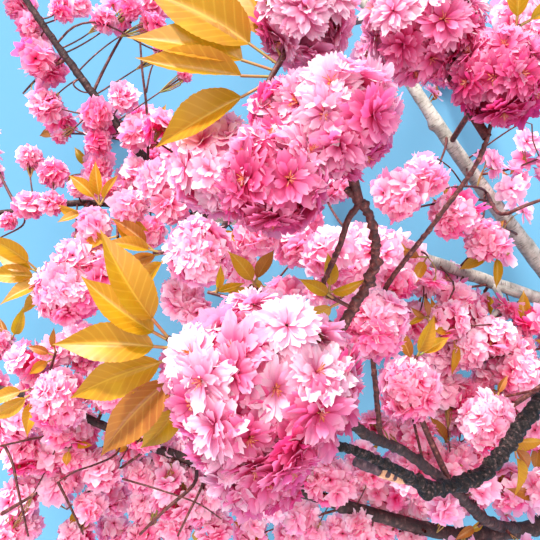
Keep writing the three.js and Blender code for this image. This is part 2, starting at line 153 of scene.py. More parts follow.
# Finer sprays that fill in between the others, within their reach: the same columns
FINE_SPRAYS = [
    ("cross_bough", 0.6, (70, -6, 468), 3, 36),
    ("cross_bough", 0.5, (122, 6, 452), 3, 34),
    ("cross_bough", 0.74, (-16, 22, 474), 3, 34),
    ("upper_right_bough", 0.3, (166, 74, 412), 3, 34),
    ("upper_right_bough", 0.34, (206, 102, 404), 3, 32),
    ("upper_right_bough", 0.2, (244, 58, 362), 3, 32),
    ("low_bough", 0.92, (-296, -100, 376), 3, 29),
    ("low_bough", 0.9, (-388, -270, 296), 3, 31),
    ("low_bough", 0.86, (-388, -384, 236), 4, 32),
    ("low_bough", 0.76, (-316, -372, 250), 3, 32),
    ("low_bough", 0.68, (-238, -276, 240), 3, 30),
    ("low_bough", 0.58, (-150, -300, 220), 3, 30),
    ("low_bough", 0.42, (138, -318, 200), 3, 35),
    ("low_bough", 0.32, (206, -352, 190), 3, 35),
    ("middle_bough", 0.34, (190, -246, 330), 3, 34),
    ("main_limb", 0.56, (258, -254, 320), 4, 35),
    ("rising_bough", 0.2, (282, -132, 330), 3, 34),
    ("main_limb", 0.8, (370, -84, 316), 3, 36),
    ("low_bough", 0.14, (352, -346, 250), 3, 36),
    ("cross_bough", 0.26, (222, -30, 310), 3, 34),
]

# Short shoots on the limbs: limb, shares of its length they start and end at, and their spacing
SHOOTS = [
    ("low_bough", 0.3, 1.0, 52),
    ("upper_right_bough", 0.62, 1.0, 64),
    ("cross_bough", 0.25, 0.95, 84),
    ("middle_bough", 0.1, 0.5, 60),
    ("main_limb", 0.5, 0.95, 90),
]

# Single clusters on stalks of their own, by the colour of their flowers: middle and radius
POMPOMS = {
    "pale": [
        (-246, 342, 400, 17), (-212, 320, 410, 19), (-288, 212, 400, 26), (-178, 211, 440, 22),
        (-311, 145, 400, 19), (-167, 122, 430, 21), (-209, 54, 460, 26), (-229, 14, 470, 28),
        (-126, 101, 500, 28), (-160, 72, 490, 24), (-112, 73, 500, 25), (-113, -35, 420, 32),
        (-93, -52, 430, 24), (-36, 2, 460, 27), (58, -27, 450, 22), (81, -27, 430, 20),
        (213, -76, 300, 34), (250, -126, 300, 36), (323, -159, 280, 23), (-177, -229, 330, 32),
        (145, -214, 350, 25), (88, -308, 300, 40), (307, -276, 300, 22), (-132, -326, 300, 44),
        (360, -110, 300, 32), (267, -225, 280, 30), (71, -412, 250, 26), (-221, 47, 430, 26),
    ],
    "mid": [
        (-324, 343, 400, 23), (-307, 313, 410, 19), (-301, 295, 400, 22), (-262, 330, 420, 19),
        (-154, 322, 390, 20), (-142, 290, 380, 17), (-115, 263, 370, 12), (-279, 177, 380, 12),
        (-215, 193, 430, 22), (-163, 169, 440, 25), (-277, 124, 410, 22), (-301, 81, 430, 21),
        (-267, 82, 440, 18), (-239, 103, 430, 14), (-204, 102, 430, 16), (-326, 61, 430, 14),
        (-253, -96, 380, 30), (-272, -227, 320, 33), (267, -186, 290, 36), (161, -226, 340, 21),
        (-107, -349, 290, 30), (-303, -416, 250, 34), (-147, 47, 440, 23), (226, -262, 330, 26),
        (132, -378, 280, 26), (221, -416, 250, 26),
    ],
    "rose": [
        (-287, 263, 395, 25), (-181, 339, 400, 17), (-217, 161, 420, 20), (-219, 130, 410, 19),
        (-253, -125, 360, 22), (300, -183, 280, 27), (-403, -400, 260, 31), (-194, -416, 250, 34),
        (150, -297, 300, 27), (315, -346, 260, 26), (339, -130, 290, 23),
    ],
}

# Tufts of young leaves: where they spring, heading, spread, count and length
TUFTS = [
    ((-90, 90, 500), 110, 65, 4, 56), ((-200, 75, 470), 95, 60, 3, 50),
    ((-220, 68, 460), 190, 30, 2, 38), ((-180, 65, 490), 318, 30, 2, 54),
    ((-176, 38, 480), 190, 20, 1, 52), ((-19, -15, 600), 120, 120, 3, 40),
    ((44, -19, 640), 110, 200, 4, 38), ((146, 38, 420), 60, 160, 2, 34),
    ((312, 54, 330), 100, 140, 4, 30), ((213, -82, 380), 100, 200, 5, 34),
    ((187, -157, 340), 80, 100, 2, 30), ((308, -175, 360), 150, 160, 3, 32),
    ((-59, -21, 600), 40, 60, 2, 34), ((-270, -103, 420), 150, 120, 3, 40),
    ((-311, -181, 400), 40, 80, 2, 40), ((-283, -252, 330), 300, 120, 2, 34),
]

# Bare twigs: limb they spring from (none for one that leaves another twig), diameter and points.
# The pale ones have the grey bark of the large boughs
BARE_TWIGS = [
    ("upper_left_bough", 3.4, [(-155, 145, 414), (-156, 209, 420), (-160, 248, 424),
                               (-164, 292, 420)]),
    (None, 2.4, [(-156, 224, 420), (-153, 253, 410), (-144, 285, 400)]),
    ("upper_left_bough", 2.4, [(-250, 236, 414), (-242, 229, 408), (-228, 228, 404)]),
    ("upper_left_bough", 2.6, [(-246, 305, 424), (-221, 314, 416), (-189, 304, 410),
                               (-165, 291, 404), (-140, 284, 390)]),
    ("upper_left_bough", 2.4, [(-235, 198, 420), (-267, 206, 408)]),
    ("upper_left_bough", 2.4, [(-232, 173, 420), (-263, 187, 404)]),
    ("left_bough", 2.4, [(-310, 59, 420), (-345, 41, 410)]),
    ("low_bough", 3.6, [(-309, -229, 330), (-324, -226, 380), (-350, -228, 400)]),
    ("low_bough", 3.0, [(-210, -251, 350), (-229, -253, 400), (-248, -257, 410),
                        (-271, -271, 410)]),
    (None, 3.4, [(-348, -229, 392), (-334, -249, 400), (-322, -281, 410), (-313, -345, 400)]),
    (None, 5.0, [(-352, -320, 390), (-324, -302, 400), (-302, -289, 400)]),
    (None, 3.4, [(-271, -271, 410), (-258, -308, 400), (-245, -347, 390)]),
    ("low_bough", 5.0, [(-102, -286, 380), (-133, -308, 400), (-171, -347, 390)]),
    ("low_bough", 4.0, [(-93, -293, 380), (-106, -316, 400), (-121, -349, 390)]),
    (None, 2.6, [(-194, -274, 390), (-142, -285, 400), (-92, -305, 396), (-65, -331, 380)]),
    ("cross_bough", 2.8, [(261, -24, 330), (245, -50, 350), (252, -72, 360), (297, -76, 350),
                          (322, -74, 340)]),
    ("upper_right_bough", 6.0, [(313, 74, 380), (331, 83, 390), (352, 91, 396)]),
    ("upper_right_bough", 3.4, [(291, 63, 340), (274, 62, 340), (263, 54, 330)]),
    ("rising_bough", 6.0, [(398, -168, 290), (364, -160, 300), (332, -148, 300)]),
    ("cross_bough", 2.6, [(215, -25, 340), (210, -48, 350), (202, -69, 350)]),
    ("upper_right_bough", 2.6, [(275, 119, 330), (252, 143, 340), (231, 158, 340)]),
    ("upper_right_bough", 2.4, [(368, 210, 330), (372, 184, 330), (381, 161, 330)]),
]
PALE_TWIGS = [
    ("cross_bough", 9.0, [(343, -50, 290), (320, -76, 300), (299, -106, 300)]),
    ("main_limb", 11.0, [(400, -200, 200), (289, -190, 220), (237, -159, 240), (196, -134, 250)]),
    ("cross_bough", 11.0, [(389, -39, 250), (319, -14, 262), (261, 9, 270)]),
]

EYE_HEIGHT = 1150  # of the camera above the floor, over the origin of these millimetres

# Where the floor shows between the sprays to that eye: place on the floor and radius
OPENINGS = [
    (-322, 417, 75), (-387, 437, 28), (-501, 377, 48), (-512, 298, 56), (-512, 238, 44),
    (-508, 175, 44), (-465, 278, 28), (-401, 234, 32), (-377, 348, 40), (-294, 209, 16),
    (-302, 163, 20), (-218, 258, 20), (-209, 348, 44), (-238, 397, 28), (-308, 228, 18),
    (-516, 139, 28), (-526, 40, 32), (-493, 70, 20), (-417, 87, 16), (-457, 159, 12),
    (-183, 516, 36), (-129, 497, 24), (-314, 512, 14), (-83, 457, 24), (-115, 369, 28),
    (-64, 330, 32), (-50, 397, 24), (393, 262, 48), (314, 326, 24), (310, 258, 24),
    (332, 207, 20), (481, 302, 32), (481, 238, 28), (461, 179, 18), (526, 367, 20),
    (510, 79, 28), (387, 75, 20), (526, 238, 24), (-473, -103, 28), (-508, -70, 28),
    (-506, -211, 28), (-433, -473, 26), (421, 189, 16),
]
# Stretches of limbs that sprays leave bare to it: limb, shares of its length, half width
BARE_STRETCHES = [
    ("upper_right_bough", 0.0, 0.62, 38), ("cross_bough", 0.0, 0.42, 30),
    ("low_bough", 0.08, 0.5, 34), ("low_bough", 0.73, 0.84, 22), ("middle_bough", 0.05, 0.62, 28),
    ("upper_left_bough", 0.0, 1.0, 28), ("left_bough", 0.3, 1.0, 24),
]

# Numbers that the solids share
LARGE_HEAD = 60  # radius from which a head's ball has the larger number of facets
DRAWS_LARGE, DRAWS_SMALL, DRAWS_CLUSTER = 339, 159, 5  # random numbers that one ball takes
SPRAY_SEED, FINE_SEED = 101, 301  # of the first spray and of the first finer one
TWIG_RADIUS, TWIG_TIP_RADIUS = 3.4, 1.8
STALK_RADIUS = 4.2  # of the spur that carries a head
SPUR_SAG = 0.08  # share of its length
BEND_PLACE, BEND_ASIDE, BEND_RISE = 0.45, 0.24, 0.1  # of a spray's twig, in shares of its length
LEAF_SPACING = 6
FIRST_CLUSTER = 0.38  # share of its twig's length
CLUSTER_OFFSET, PRESSED = 0.66, 0.7  # from the twig and above the floor, in radii
SPRAY_FAN = (130, 3, 52)  # spread, count and length of the leaves at a spray's tip

# Seeds of what is only seen
HEADS_SEED, SPRAYS_SEED, SHOOTS_SEED, CLUSTERS_SEED = 300, 400, 500, 600

# Flowers
FLOWER_RADIUS = 25
SPRAY_FLOWER, SHOOT_FLOWER = 22, 21  # radii
PETAL_OVERHANG = 2  # a head's flowers reach this far beyond the ball they sit on
HEAD_COVER, INNER_COVER = 1.35, 0.8  # the flowers' discs against their ball's surface
SPRAY_COVER, SHOOT_COVER, POMPOM_COVER = 1.0, 0.6, 1.1
INNER_REACH = 0.74  # of the flowers deeper in a head, in radii of their ball
INNER_PETALS = 20  # single petals in a ball of 30 mm
CHANCES = 12  # places tried for each flower
SUNK = 0.62  # a flower this deep in another ball, in radii, is left out
WHORL_STEP = 0.9  # from one ring of petals to the next
WIDEST = 0.7  # where a petal is broadest, as a share of its length
CLAW = 0.15  # a petal's width at its foot against its broadest
STAMEN_COUNT = 14
SHOOT_REACH, SHOOT_SIZE, SHOOT_LENGTH = 27, 24, 7

# Twigs, stalks and leaves
SLIM = 0.66  # a twig against its solid
HEAD_TWIG_RADIUS, SHOOT_RADIUS, POMPOM_TWIG_RADIUS = 2.4, 2.6, 0.9
PEDICEL_RADIUS, PETIOLE_RADIUS = 0.8, 1.3
CALYX_LENGTH, CALYX_RADIUS = 9, 3.2
PETIOLE_SHARE = 0.22  # of a leaf's length
LEAF_WIDTH = 0.37  # share of its length
BRONZE = {"heads": 0.14, "sprays": 0.4, "shoots": 0.5, "tufts": 0.25}  # shares of bronze leaves
CUT_RADIUS = 20.5  # of the sawn face, inside the bark
FLOOR_CLEARANCE = 0.4
BARE_STEPS = 40  # places along each bare stretch
SPRAY_PARTS = 5  # pieces that the sprays' flowers are shared out to

# Whorls of a flower from the outside in: petals, length, width, rise and curl in degrees
FULL_FLOWER = [(9, 26, 14, -8, 6), (9, 25, 13, 10, -4), (8, 22, 12, 28, -16), (6, 18, 9, 48, -26),
               (4, 13, 7, 70, -30)]
OPEN_FLOWER = [(9, 26, 14, -6, 4), (9, 25, 13, 5, 2), (8, 21, 12, 15, 0), (6, 15, 8, 30, -8)]
MIDDLE_FLOWER = [(7, 26, 17, -6, 10), (7, 24, 16, 16, -4), (6, 19, 13, 38, -16),
                 (4, 14, 10, 62, -24)]
SMALL_FLOWER = [(7, 26, 18, -2, 8), (6, 22, 16, 26, -8), (4, 16, 12, 56, -18)]

# Half the width of a leaf's blade along its length, as shares: egg-shaped with a long tip
BLADE_PLACES = [0, 0.05, 0.12, 0.25, 0.4, 0.52, 0.64, 0.75, 0.84, 0.91, 0.96, 1]
BLADE_HALVES = [0.04, 0.42, 0.72, 0.96, 1.0, 0.93, 0.74, 0.5, 0.28, 0.13, 0.06, 0.01]


# Small things that everything uses

def random_from(seed):
    """The solids' generator, a linear congruential one: the same numbers for the same seed."""
    scatter, factor, step, size = 2654435761, 1664525, 1013904223, 2**32
    state = seed * scatter % size

    def draw():
        nonlocal state
        state = (state * factor + step) % size
        return state / size

    return draw


def unit(v):
    return v / np.linalg.norm(v)


class Path:
    """A curve read by its share of the length."""

    def __init__(self, at):
        self.at = at
        self.t = np.linspace(0, 1, 201)
        points = np.array([at(t) for t in self.t])
        steps = np.linalg.norm(np.diff(points, axis=0), axis=1)
        self.reach = np.concatenate([[0], np.cumsum(steps)])
        self.length = self.reach[-1]

    def point(self, share):
        return self.at(np.interp(share * self.length, self.reach, self.t))

    def tangent(self, share):
        t = np.interp(share * self.length, self.reach, self.t)
        return unit(self.at(min(t + 1e-4, 1)) - self.at(max(t - 1e-4, 0)))


def smooth_path(points):
    """The centripetal curve through points that a limb follows."""
    p = np.array(points, float)
    ends = np.vstack([2 * p[0] - p[1], p, 2 * p[-1] - p[-2]])

    def at(t):
        i = min(int(t * (len(p) - 1)), len(p) - 2)
        w = t * (len(p) - 1) - i
        a, b, c, d = ends[i:i + 4]
        d0, d1, d2 = (np.linalg.norm(q) ** 0.5 for q in (b - a, c - b, d - c))
        m1 = ((b - a) / d0 - (c - a) / (d0 + d1) + (c - b) / d1) * d1
        m2 = ((c - b) / d1 - (d - b) / (d1 + d2) + (d - c) / d2) * d1
        return b + m1 * w + (3 * (c - b) - 2 * m1 - m2) * w**2 + (2 * (b - c) + m1 + m2) * w**3

    return Path(at)


def arc_path(a, b, c):
    """The bow from a to c that b pulls towards itself, as twigs and spurs hang."""
    return Path(lambda t: (1 - t) ** 2 * a + 2 * t * (1 - t) * b + t * t * c)


def line_path(a, b):
    return Path(lambda t: a + (b - a) * t)


def nearest_on(paths, place):
    """The closest point to a place on any of the paths."""
    points = np.array([path.point(t) for path in paths for t in np.linspace(0.02, 0.98, 60)])
    return points[np.linalg.norm(points - place, axis=1).argmin()]


def floor_spot(places):
    """Where places fall on the floor as the camera's eye sees them."""
    places = np.asarray(places, float)
    return places[..., :2] / (1 - places[..., 2:3] / EYE_HEIGHT)


def stays_open(place, bare):
    """True where sprays leave the floor or a stretch of limb open to the eye."""
    spot = floor_spot(place)
    if any(np.hypot(*(spot - o[:2])) < o[2] for o in OPENINGS):
        return True
    far = np.linalg.norm(bare[:, :2] - spot, axis=1)
    return bool(((far < bare[:, 3]) & (place[2] > bare[:, 2])).any())


def spun(places, angle):
    """Places turned about +Z."""
    c, s = math.cos(angle), math.sin(angle)
    x, y, z = places.T
    return np.column_stack([x * c - y * s, x * s + y * c, z])


def turn_towards(facing, spin):
    """Rotation that brings +Z to facing, after a turn of spin about it."""
    z = unit(facing)
    x = unit(np.cross([0.0, 1.0, 0.0] if abs(z[1]) < 0.9 else [1.0, 0.0, 0.0], z))
    y = np.cross(z, x)
    c, s = math.cos(spin), math.sin(spin)
    return np.column_stack([x * c + y * s, y * c - x * s, z])


# The rule of the solids: limbs, spurs, twigs, clusters and leaves

def limb_paths():
    paths = {}
    for name, start, _, through in LIMBS:
        foot = paths[start[0]].point(start[1]) if isinstance(start[0], str) else start
        paths[name] = smooth_path([tuple(foot), *through])
    return paths


def fan(twig, heading, spread, count, length, draw):
    """Leaves spread about a heading: (root, way, upper side, length) of each."""
    leaves = []
    for i in range(count):
        share = i / (count - 1) - 0.5 if count > 1 else 0
        angle = math.radians(heading + share * spread + (draw() - 0.5) * 10)
        pitch = (draw() - 0.45) * 0.7
        roll = (draw() - 0.5) * 1.1
        size = length * (0.86 + 0.28 * draw())
        way = np.array([math.cos(angle) * math.cos(pitch), math.sin(angle) * math.cos(pitch),
                        math.sin(pitch)])
        level = np.cross(UP, way)
        upper = UP * math.cos(roll) - level * math.sin(roll)
        root = twig.point(1 - LEAF_SPACING * (i + 0.4) / twig.length)
        leaves.append((root, way, upper, size))
    return leaves


def head_rule(index, limbs):
    """A large head: its spur, its balls, the twig of its leaves and the leaves."""
    _, limb, at, balls, leaf_fan = BLOOMS[index]
    draw = random_from(index + 1)
    foot, middle = limbs[limb].point(at), np.array(balls[0][:3], float)
    sag = (foot + middle) / 2 - UP * np.linalg.norm(middle - foot) * SPUR_SAG
    spur = arc_path(foot, sag, middle)
    for ball in balls:
        for _ in range(DRAWS_LARGE if ball[3] > LARGE_HEAD else DRAWS_SMALL):
            draw()
    twig, leaves = None, []
    if leaf_fan:
        start = np.array(leaf_fan[0], float)
        near = min(balls, key=lambda b: np.linalg.norm(start - b[:3]))
        twig = line_path(np.array(near[:3], float), start)
        leaves = fan(twig, *leaf_fan[1:], draw)
    return spur, balls, twig, leaves


def spray_rule(row, seed, limbs):
    """A spray: its twig, its clusters (middle and radius), where their stalks spring from the
    twig, and the leaves at its tip."""
    limb, at, tip, count, size = row
    draw = random_from(seed)
    foot, tip = limbs[limb].point(at), np.array(tip, float)
    length = np.linalg.norm(tip - foot)
    bend = foot + (tip - foot) * BEND_PLACE
    bend[0] += (draw() - 0.5) * length * BEND_ASIDE
    bend[1] += (draw() - 0.5) * length * BEND_ASIDE
    bend[2] += length * BEND_RISE
    twig = arc_path(foot, bend, tip)
    clusters, springs = [], []
    for i in range(count):
        share = FIRST_CLUSTER + (1 - FIRST_CLUSTER) * i / (count - 1)
        radius = size * (0.86 + 0.24 * draw())
        turn = i * math.pi + (draw() - 0.5) * 1.6
        along = twig.tangent(share)
        side = unit(np.cross(along, UP))
        rise = np.cross(side, along)
        step = side * math.cos(turn) + rise * abs(math.sin(turn))
        middle = twig.point(share) + step * radius * CLUSTER_OFFSET
        middle[2] = max(middle[2], radius * PRESSED)
        clusters.append((*middle, radius))
        springs.append(twig.point(share))
    for _ in range(DRAWS_CLUSTER * count):
        draw()
    way = twig.tangent(1)
    leaves = fan(twig, math.degrees(math.atan2(way[1], way[0])), *SPRAY_FAN, draw)
    return twig, clusters, springs, leaves


# Meshes joined from arrays

class Pile:
    """Copies of small shapes, gathered for one mesh: places, corners, tones, UVs and slots."""

    def __init__(self):
        self.places, self.faces, self.tones, self.uvs, self.slots = [], [], [], [], []
        self.count = 0

    def add(self, places, faces, tone=0, uv=(0, 0), slot=0):
        self.places.append(places)
        self.faces.append(faces + self.count)
        self.tones.append(np.broadcast_to(tone, len(places)))
        self.uvs.append(np.broadcast_to(uv, (len(places), 2)))
        self.slots.append(np.broadcast_to(slot, len(faces)))
        self.count += len(places)


def mesh_from(name, pile, materials, smooth=True):
    """One object from a pile of four-cornered faces, with its place in its mesh."""
    places = np.concatenate(pile.places)
    places = np.clip(places, BOX[0] + [0, 0, FLOOR_CLEARANCE], BOX[1])
    places = (places + CENTRING) * MM
    faces = np.concatenate(pile.faces)
    mesh = bpy.data.meshes.new(name)
    mesh.vertices.add(len(places))
    mesh.vertices.foreach_set("co", places.astype(np.float32).ravel())
    mesh.loops.add(faces.size)
    mesh.loops.foreach_set("vertex_index", faces.astype(np.int32).ravel())
    mesh.polygons.add(len(faces))
    mesh.polygons.foreach_set("loop_start", np.arange(0, faces.size, 4, dtype=np.int32))
    mesh.polygons.foreach_set("loop_total", np.full(len(faces), 4, np.int32))
    mesh.polygons.foreach_set("material_index", np.concatenate(pile.slots).astype(np.int32))
    mesh.polygons.foreach_set("use_smooth", np.full(len(faces), smooth))
    tone = mesh.attributes.new("tone", "FLOAT", "POINT")
    tone.data.foreach_set("value", np.concatenate(pile.tones).astype(np.float32))
    layer = mesh.uv_layers.new(name="surface")
    uv = np.concatenate(pile.uvs)[faces.ravel()]
    layer.data.foreach_set("uv", uv.astype(np.float32).ravel())
    mesh.update(calc_edges=True)
    mesh.validate()
    for material in materials:
        mesh.materials.append(material)
    piece = bpy.data.objects.new(name, mesh)
    bpy.context.scene.collection.objects.link(piece)
    return piece


def surface_uv(u, v):
    return np.column_stack([u / 2 + 0.5, v])


def grid(across, along):
    """A flat grid: u from -1 to 1 across it, v from 0 to 1 along it, and its faces."""
    bm = bmesh.new()
    bmesh.ops.create_grid(bm, x_segments=across, y_segments=along, size=1)
    places = np.array([v.co for v in bm.verts])
    faces = np.array([[v.index for v in f.verts] for f in bm.faces])
    bm.free()
    return places[:, 0], (places[:, 1] + 1) / 2, faces


def rod_shape(sides, rings):
    """An open tube of unit radius and height, as a rolled grid: places and faces."""
    bm = bmesh.new()
    bmesh.ops.create_grid(bm, x_segments=sides, y_segments=rings, size=1)
    for v in bm.verts:
        angle, height = -v.co.x * math.pi, (v.co.y + 1) / 2
        v.co = (math.cos(angle), math.sin(angle), height)
    bmesh.ops.remove_doubles(bm, verts=bm.verts, dist=1e-4)
    bm.verts.index_update()
    places = np.array([v.co for v in bm.verts])
    faces = np.array([[v.index for v in f.verts] for f in bm.faces])
    bm.free()
    return places, faces


def bend_rod(shape, path, radius_at):
    """The rod's places along a path, turned evenly so that it doesn't twist."""
    places = shape[0]
    heights = np.unique(places[:, 2].round(6))
    out = np.empty_like(places)
    side = None
    for h in heights:
        along = path.tangent(h)
        guide = UP if abs(along[2]) < 0.95 else np.array([1.0, 0, 0])
        side = unit(np.cross(guide, along)) if side is None else side
        side = unit(side - along * (side @ along))
        up = np.cross(along, side)
        ring = np.isclose(places[:, 2], h, atol=1e-5)
        x, y = places[ring, 0:1], places[ring, 1:2]
        out[ring] = path.point(h) + (side * x + up * y) * radius_at(h)
    return out


# Petals and flowers

def petal(shape, length, width, rise, curl, rng):
    """One petal in its flower's frame, pointing along +Y: places, tone and UV.

    Broad at two thirds of its length, with a notched and toothed edge, creased and ruffled.
    """
    u, v, _ = shape
    columns = np.unique(u.round(5))
    depth = 0.5 / len(columns)  # so that a fine grid has many small teeth
    teeth = np.interp(u, columns, rng.uniform(-depth, depth, len(columns)))
    notch = rng.uniform(0.04, 0.2) * np.exp(-((u - rng.uniform(-0.2, 0.2)) / 0.22) ** 2)
    reach = v * (1 + (teeth - notch - 0.2 * np.abs(u) ** 2.6) * v**4)
    swell = np.sin(np.minimum(v / WIDEST, 1) * math.pi / 2) ** 1.3
    half = width / 2 * (CLAW + (1 - CLAW) * swell)
    half = half * (1 - 0.26 * np.clip((v - 0.72) / 0.28, 0, 1) ** 2)
    start, angle = np.radians(rise), np.radians(rise + curl * reach)
    out = length * reach * np.cos((start + angle) / 2)
    high = length * reach * np.sin((start + angle) / 2)
    crease = rng.uniform(-0.1, 0.34) * half * np.abs(u) * np.sin(v * math.pi * 0.8)
    waves = rng.uniform(1.2, 2.6)
    high_waves = rng.uniform(0.3, 1.2) * width / 18 * v**2
    lift = crease + high_waves * np.sin(u * math.pi * waves + rng.uniform(0, 6))
    places = np.column_stack([u * half, 1.4 + out - lift * np.sin(angle),
                              high + lift * np.cos(angle)])
    return places, reach, surface_uv(u, v)


def flower(whorls, shape, seed, stamens=0):
    """A double flower facing +Z, its calyx at the origin: places, faces, tones, UVs, and the
    number of its last faces that are stamens."""
    rng = np.random.RandomState(seed)
    pile = Pile()
    for ring, (count, length, width, rise, curl) in enumerate(whorls):
        start = rng.uniform(0, math.tau)
        for k in range(count):
            angle = start + math.tau * (k + rng.uniform(-0.2, 0.2)) / count
            scale = rng.uniform(0.84, 1.05)
            places, tone, uv = petal(shape, length * scale, width * rng.uniform(0.8, 1.12),
                                     rise + rng.uniform(-8, 8), curl + rng.uniform(-20, 16), rng)
            lean = rng.uniform(-0.5, 0.5)
            places[:, 2] += places[:, 0] * math.sin(lean)
            places[:, 0] *= math.cos(lean)
            places[:, 2] += ring * WHORL_STEP
            tone = np.clip(tone + rng.uniform(-0.1, 0.1), 0, 1)
            pile.add(spun(places, angle), shape[2], tone, uv)
    u, v, strip = thread_shape
    for _ in range(stamens):
        angle, lean, long = rng.uniform(0, math.tau), rng.uniform(0.1, 0.9), rng.uniform(5, 9)
        wide = np.where(v > 0.8, 0.7, 0.3) * (1 - 0.6 * (v > 0.95))
        out = long * np.sin(lean * (0.5 + 0.5 * v)) * v
        places = np.column_stack([u * wide, out, 2 + long * v * np.cos(lean * v)])
        pile.add(spun(places, angle), strip, v, surface_uv(u, v))
    return (np.concatenate(pile.places), np.concatenate(pile.faces), np.concatenate(pile.tones),
            np.concatenate(pile.uvs), stamens * len(strip))


def flowers_on(ball, others, radius, cover, rng):
    """Where flowers sit on a ball: (calyx, facing, size) of each, none deep in another ball.

    Each new one takes the widest gap of its chances, so they stand close without rows.
    """
    middle, reach = np.array(ball[:3], float), ball[3]
    radius = min(radius, reach * 0.82)
    facings, found = [], []
    for _ in range(max(4, round(4 * cover * (reach / radius) ** 2))):
        chances = rng.normal(size=(CHANCES, 3))
        chances /= np.linalg.norm(chances, axis=1)[:, None]
        nearest = (chances @ np.array(facings).T).max(axis=1) if facings else np.zeros(CHANCES)
        facing = chances[nearest.argmin()]
        facings.append(facing)
        size = radius * rng.uniform(0.9, 1.08)
        depth = math.sqrt(max(reach**2 - size**2, 0)) - 0.25 * size
        calyx = middle + facing * depth * rng.uniform(0.85, 0.99)
        calyx = np.clip(calyx, BOX[0] + size * 1.15, BOX[1] - size * 1.15)
        rim = middle + facing * reach * 0.9
        if not any(np.linalg.norm(rim - b[:3]) < b[3] * SUNK for b in others):
            found.append((calyx, unit(facing + rng.normal(size=3) * 0.22), size / FLOWER_RADIUS))
    return found


# Materials

def linear(hex_colour):
    """An sRGB hex colour as a linear RGBA."""
    parts = [int(hex_colour[i:i + 2], 16) / 255 for i in (1, 3, 5)]
    return (*[c / 12.92 if c <= 0.04045 else ((c + 0.055) / 1.055) ** 2.4 for c in parts], 1.0)


def add_node(tree, kind, links=None, values=None, **settings):
    """A node with its settings, its sockets' values and the links into it."""
    made = tree.nodes.new(kind)
    for key, value in settings.items():
        setattr(made, key, value)
    for key, value in (values or {}).items():
        made.inputs[key].default_value = value
    for key, socket in (links or {}).items():
        tree.links.new(socket, made.inputs[key])
    return made


def new_material(name):
    material = bpy.data.materials.new(name)
    material.use_nodes = True
    tree = material.node_tree
    tree.nodes.clear()
    return material, tree, add_node(tree, "ShaderNodeOutputMaterial")


def set_stops(ramp, stops):
    """Gives a colour ramp its stops: (place, sRGB hex)."""
    elements = ramp.color_ramp.elements
    while len(elements) < len(stops):
        elements.new(0.5)
    for element, (place, colour) in zip(elements, stops):
        element.position = place
        element.color = linear(colour)


def toned_material(name, stops):
    """A new material and its colour, which the mesh's tones choose from the stops."""
    material, tree, output = new_material(name)
    tone = add_node(tree, "ShaderNodeAttribute", attribute_name="tone")
    ramp = add_node(tree, "ShaderNodeValToRGB", {"Fac": tone.outputs["Fac"]})
    set_stops(ramp, stops)
    return material, tree, output, ramp.outputs["Color"]


def finish_thin(tree, output, colour, look, through, share):
    """Thin tissue: a skin, and a share of light that passes through it in a colour."""
    skin = add_node(tree, "ShaderNodeBsdfPrincipled", {"Base Color": colour}, look)
    glow = add_node(tree, "ShaderNodeBsdfTranslucent", values={"Color": linear(through)})
    mix = add_node(tree, "ShaderNodeMixShader", {1: skin.outputs["BSDF"], 2: glow.outputs["BSDF"]},
                   {"Fac": share})
    tree.links.new(mix.outputs["Shader"], output.inputs["Surface"])


def drawn_noise(tree, scale, detail, marks):
    """Noise drawn out over the surface's UVs into streaks or dashes."""
    place = add_node(tree, "ShaderNodeUVMap", uv_map="surface")
    stretch = add_node(tree, "ShaderNodeMapping", {"Vector": place.outputs["UV"]},
                       {"Scale": scale})
    drawn = add_node(tree, "ShaderNodeTexNoise", {"Vector": stretch.outputs["Vector"]},
                     {"Scale": 1.0, "Detail": detail})
    return add_node(tree, "ShaderNodeMapRange", {"Value": drawn.outputs["Fac"]},
                    marks).outputs["Result"]


def even_bands(tree, node, turns, marks):
    """Bands at even steps of a node's value, by the sine of its product with turns."""
    angle = add_node(tree, "ShaderNodeMath", {0: node.outputs["Value"]}, {1: turns},
                     operation="MULTIPLY")
    wave = add_node(tree, "ShaderNodeMath", {0: angle.outputs["Value"]}, operation="SINE")
    return add_node(tree, "ShaderNodeMapRange", {"Value": wave.outputs["Value"]},
                    marks).outputs["Result"]


def petal_material(name, stops, through):
    """Fresh petal tissue: matt, thin and light-passing, paler to its edge, finely streaked."""
    material, tree, output, colour = toned_material(name, stops)
    # Streaks along the petal, about a millimetre apart
    tint = drawn_noise(tree, (22, 1.6, 1), 2.0, {"From Min": 0.35, "From Max": 0.7,
                                                 "To Min": 1.06, "To Max": 0.9})
    mixed = add_node(tree, "ShaderNodeVectorMath", {0: colour, "Scale": tint}, operation="SCALE")
    finish_thin(tree, output, mixed.outputs["Vector"],
                {"Roughness": 0.6, "Specular IOR Level": 0.25}, through, 0.55)
    return material


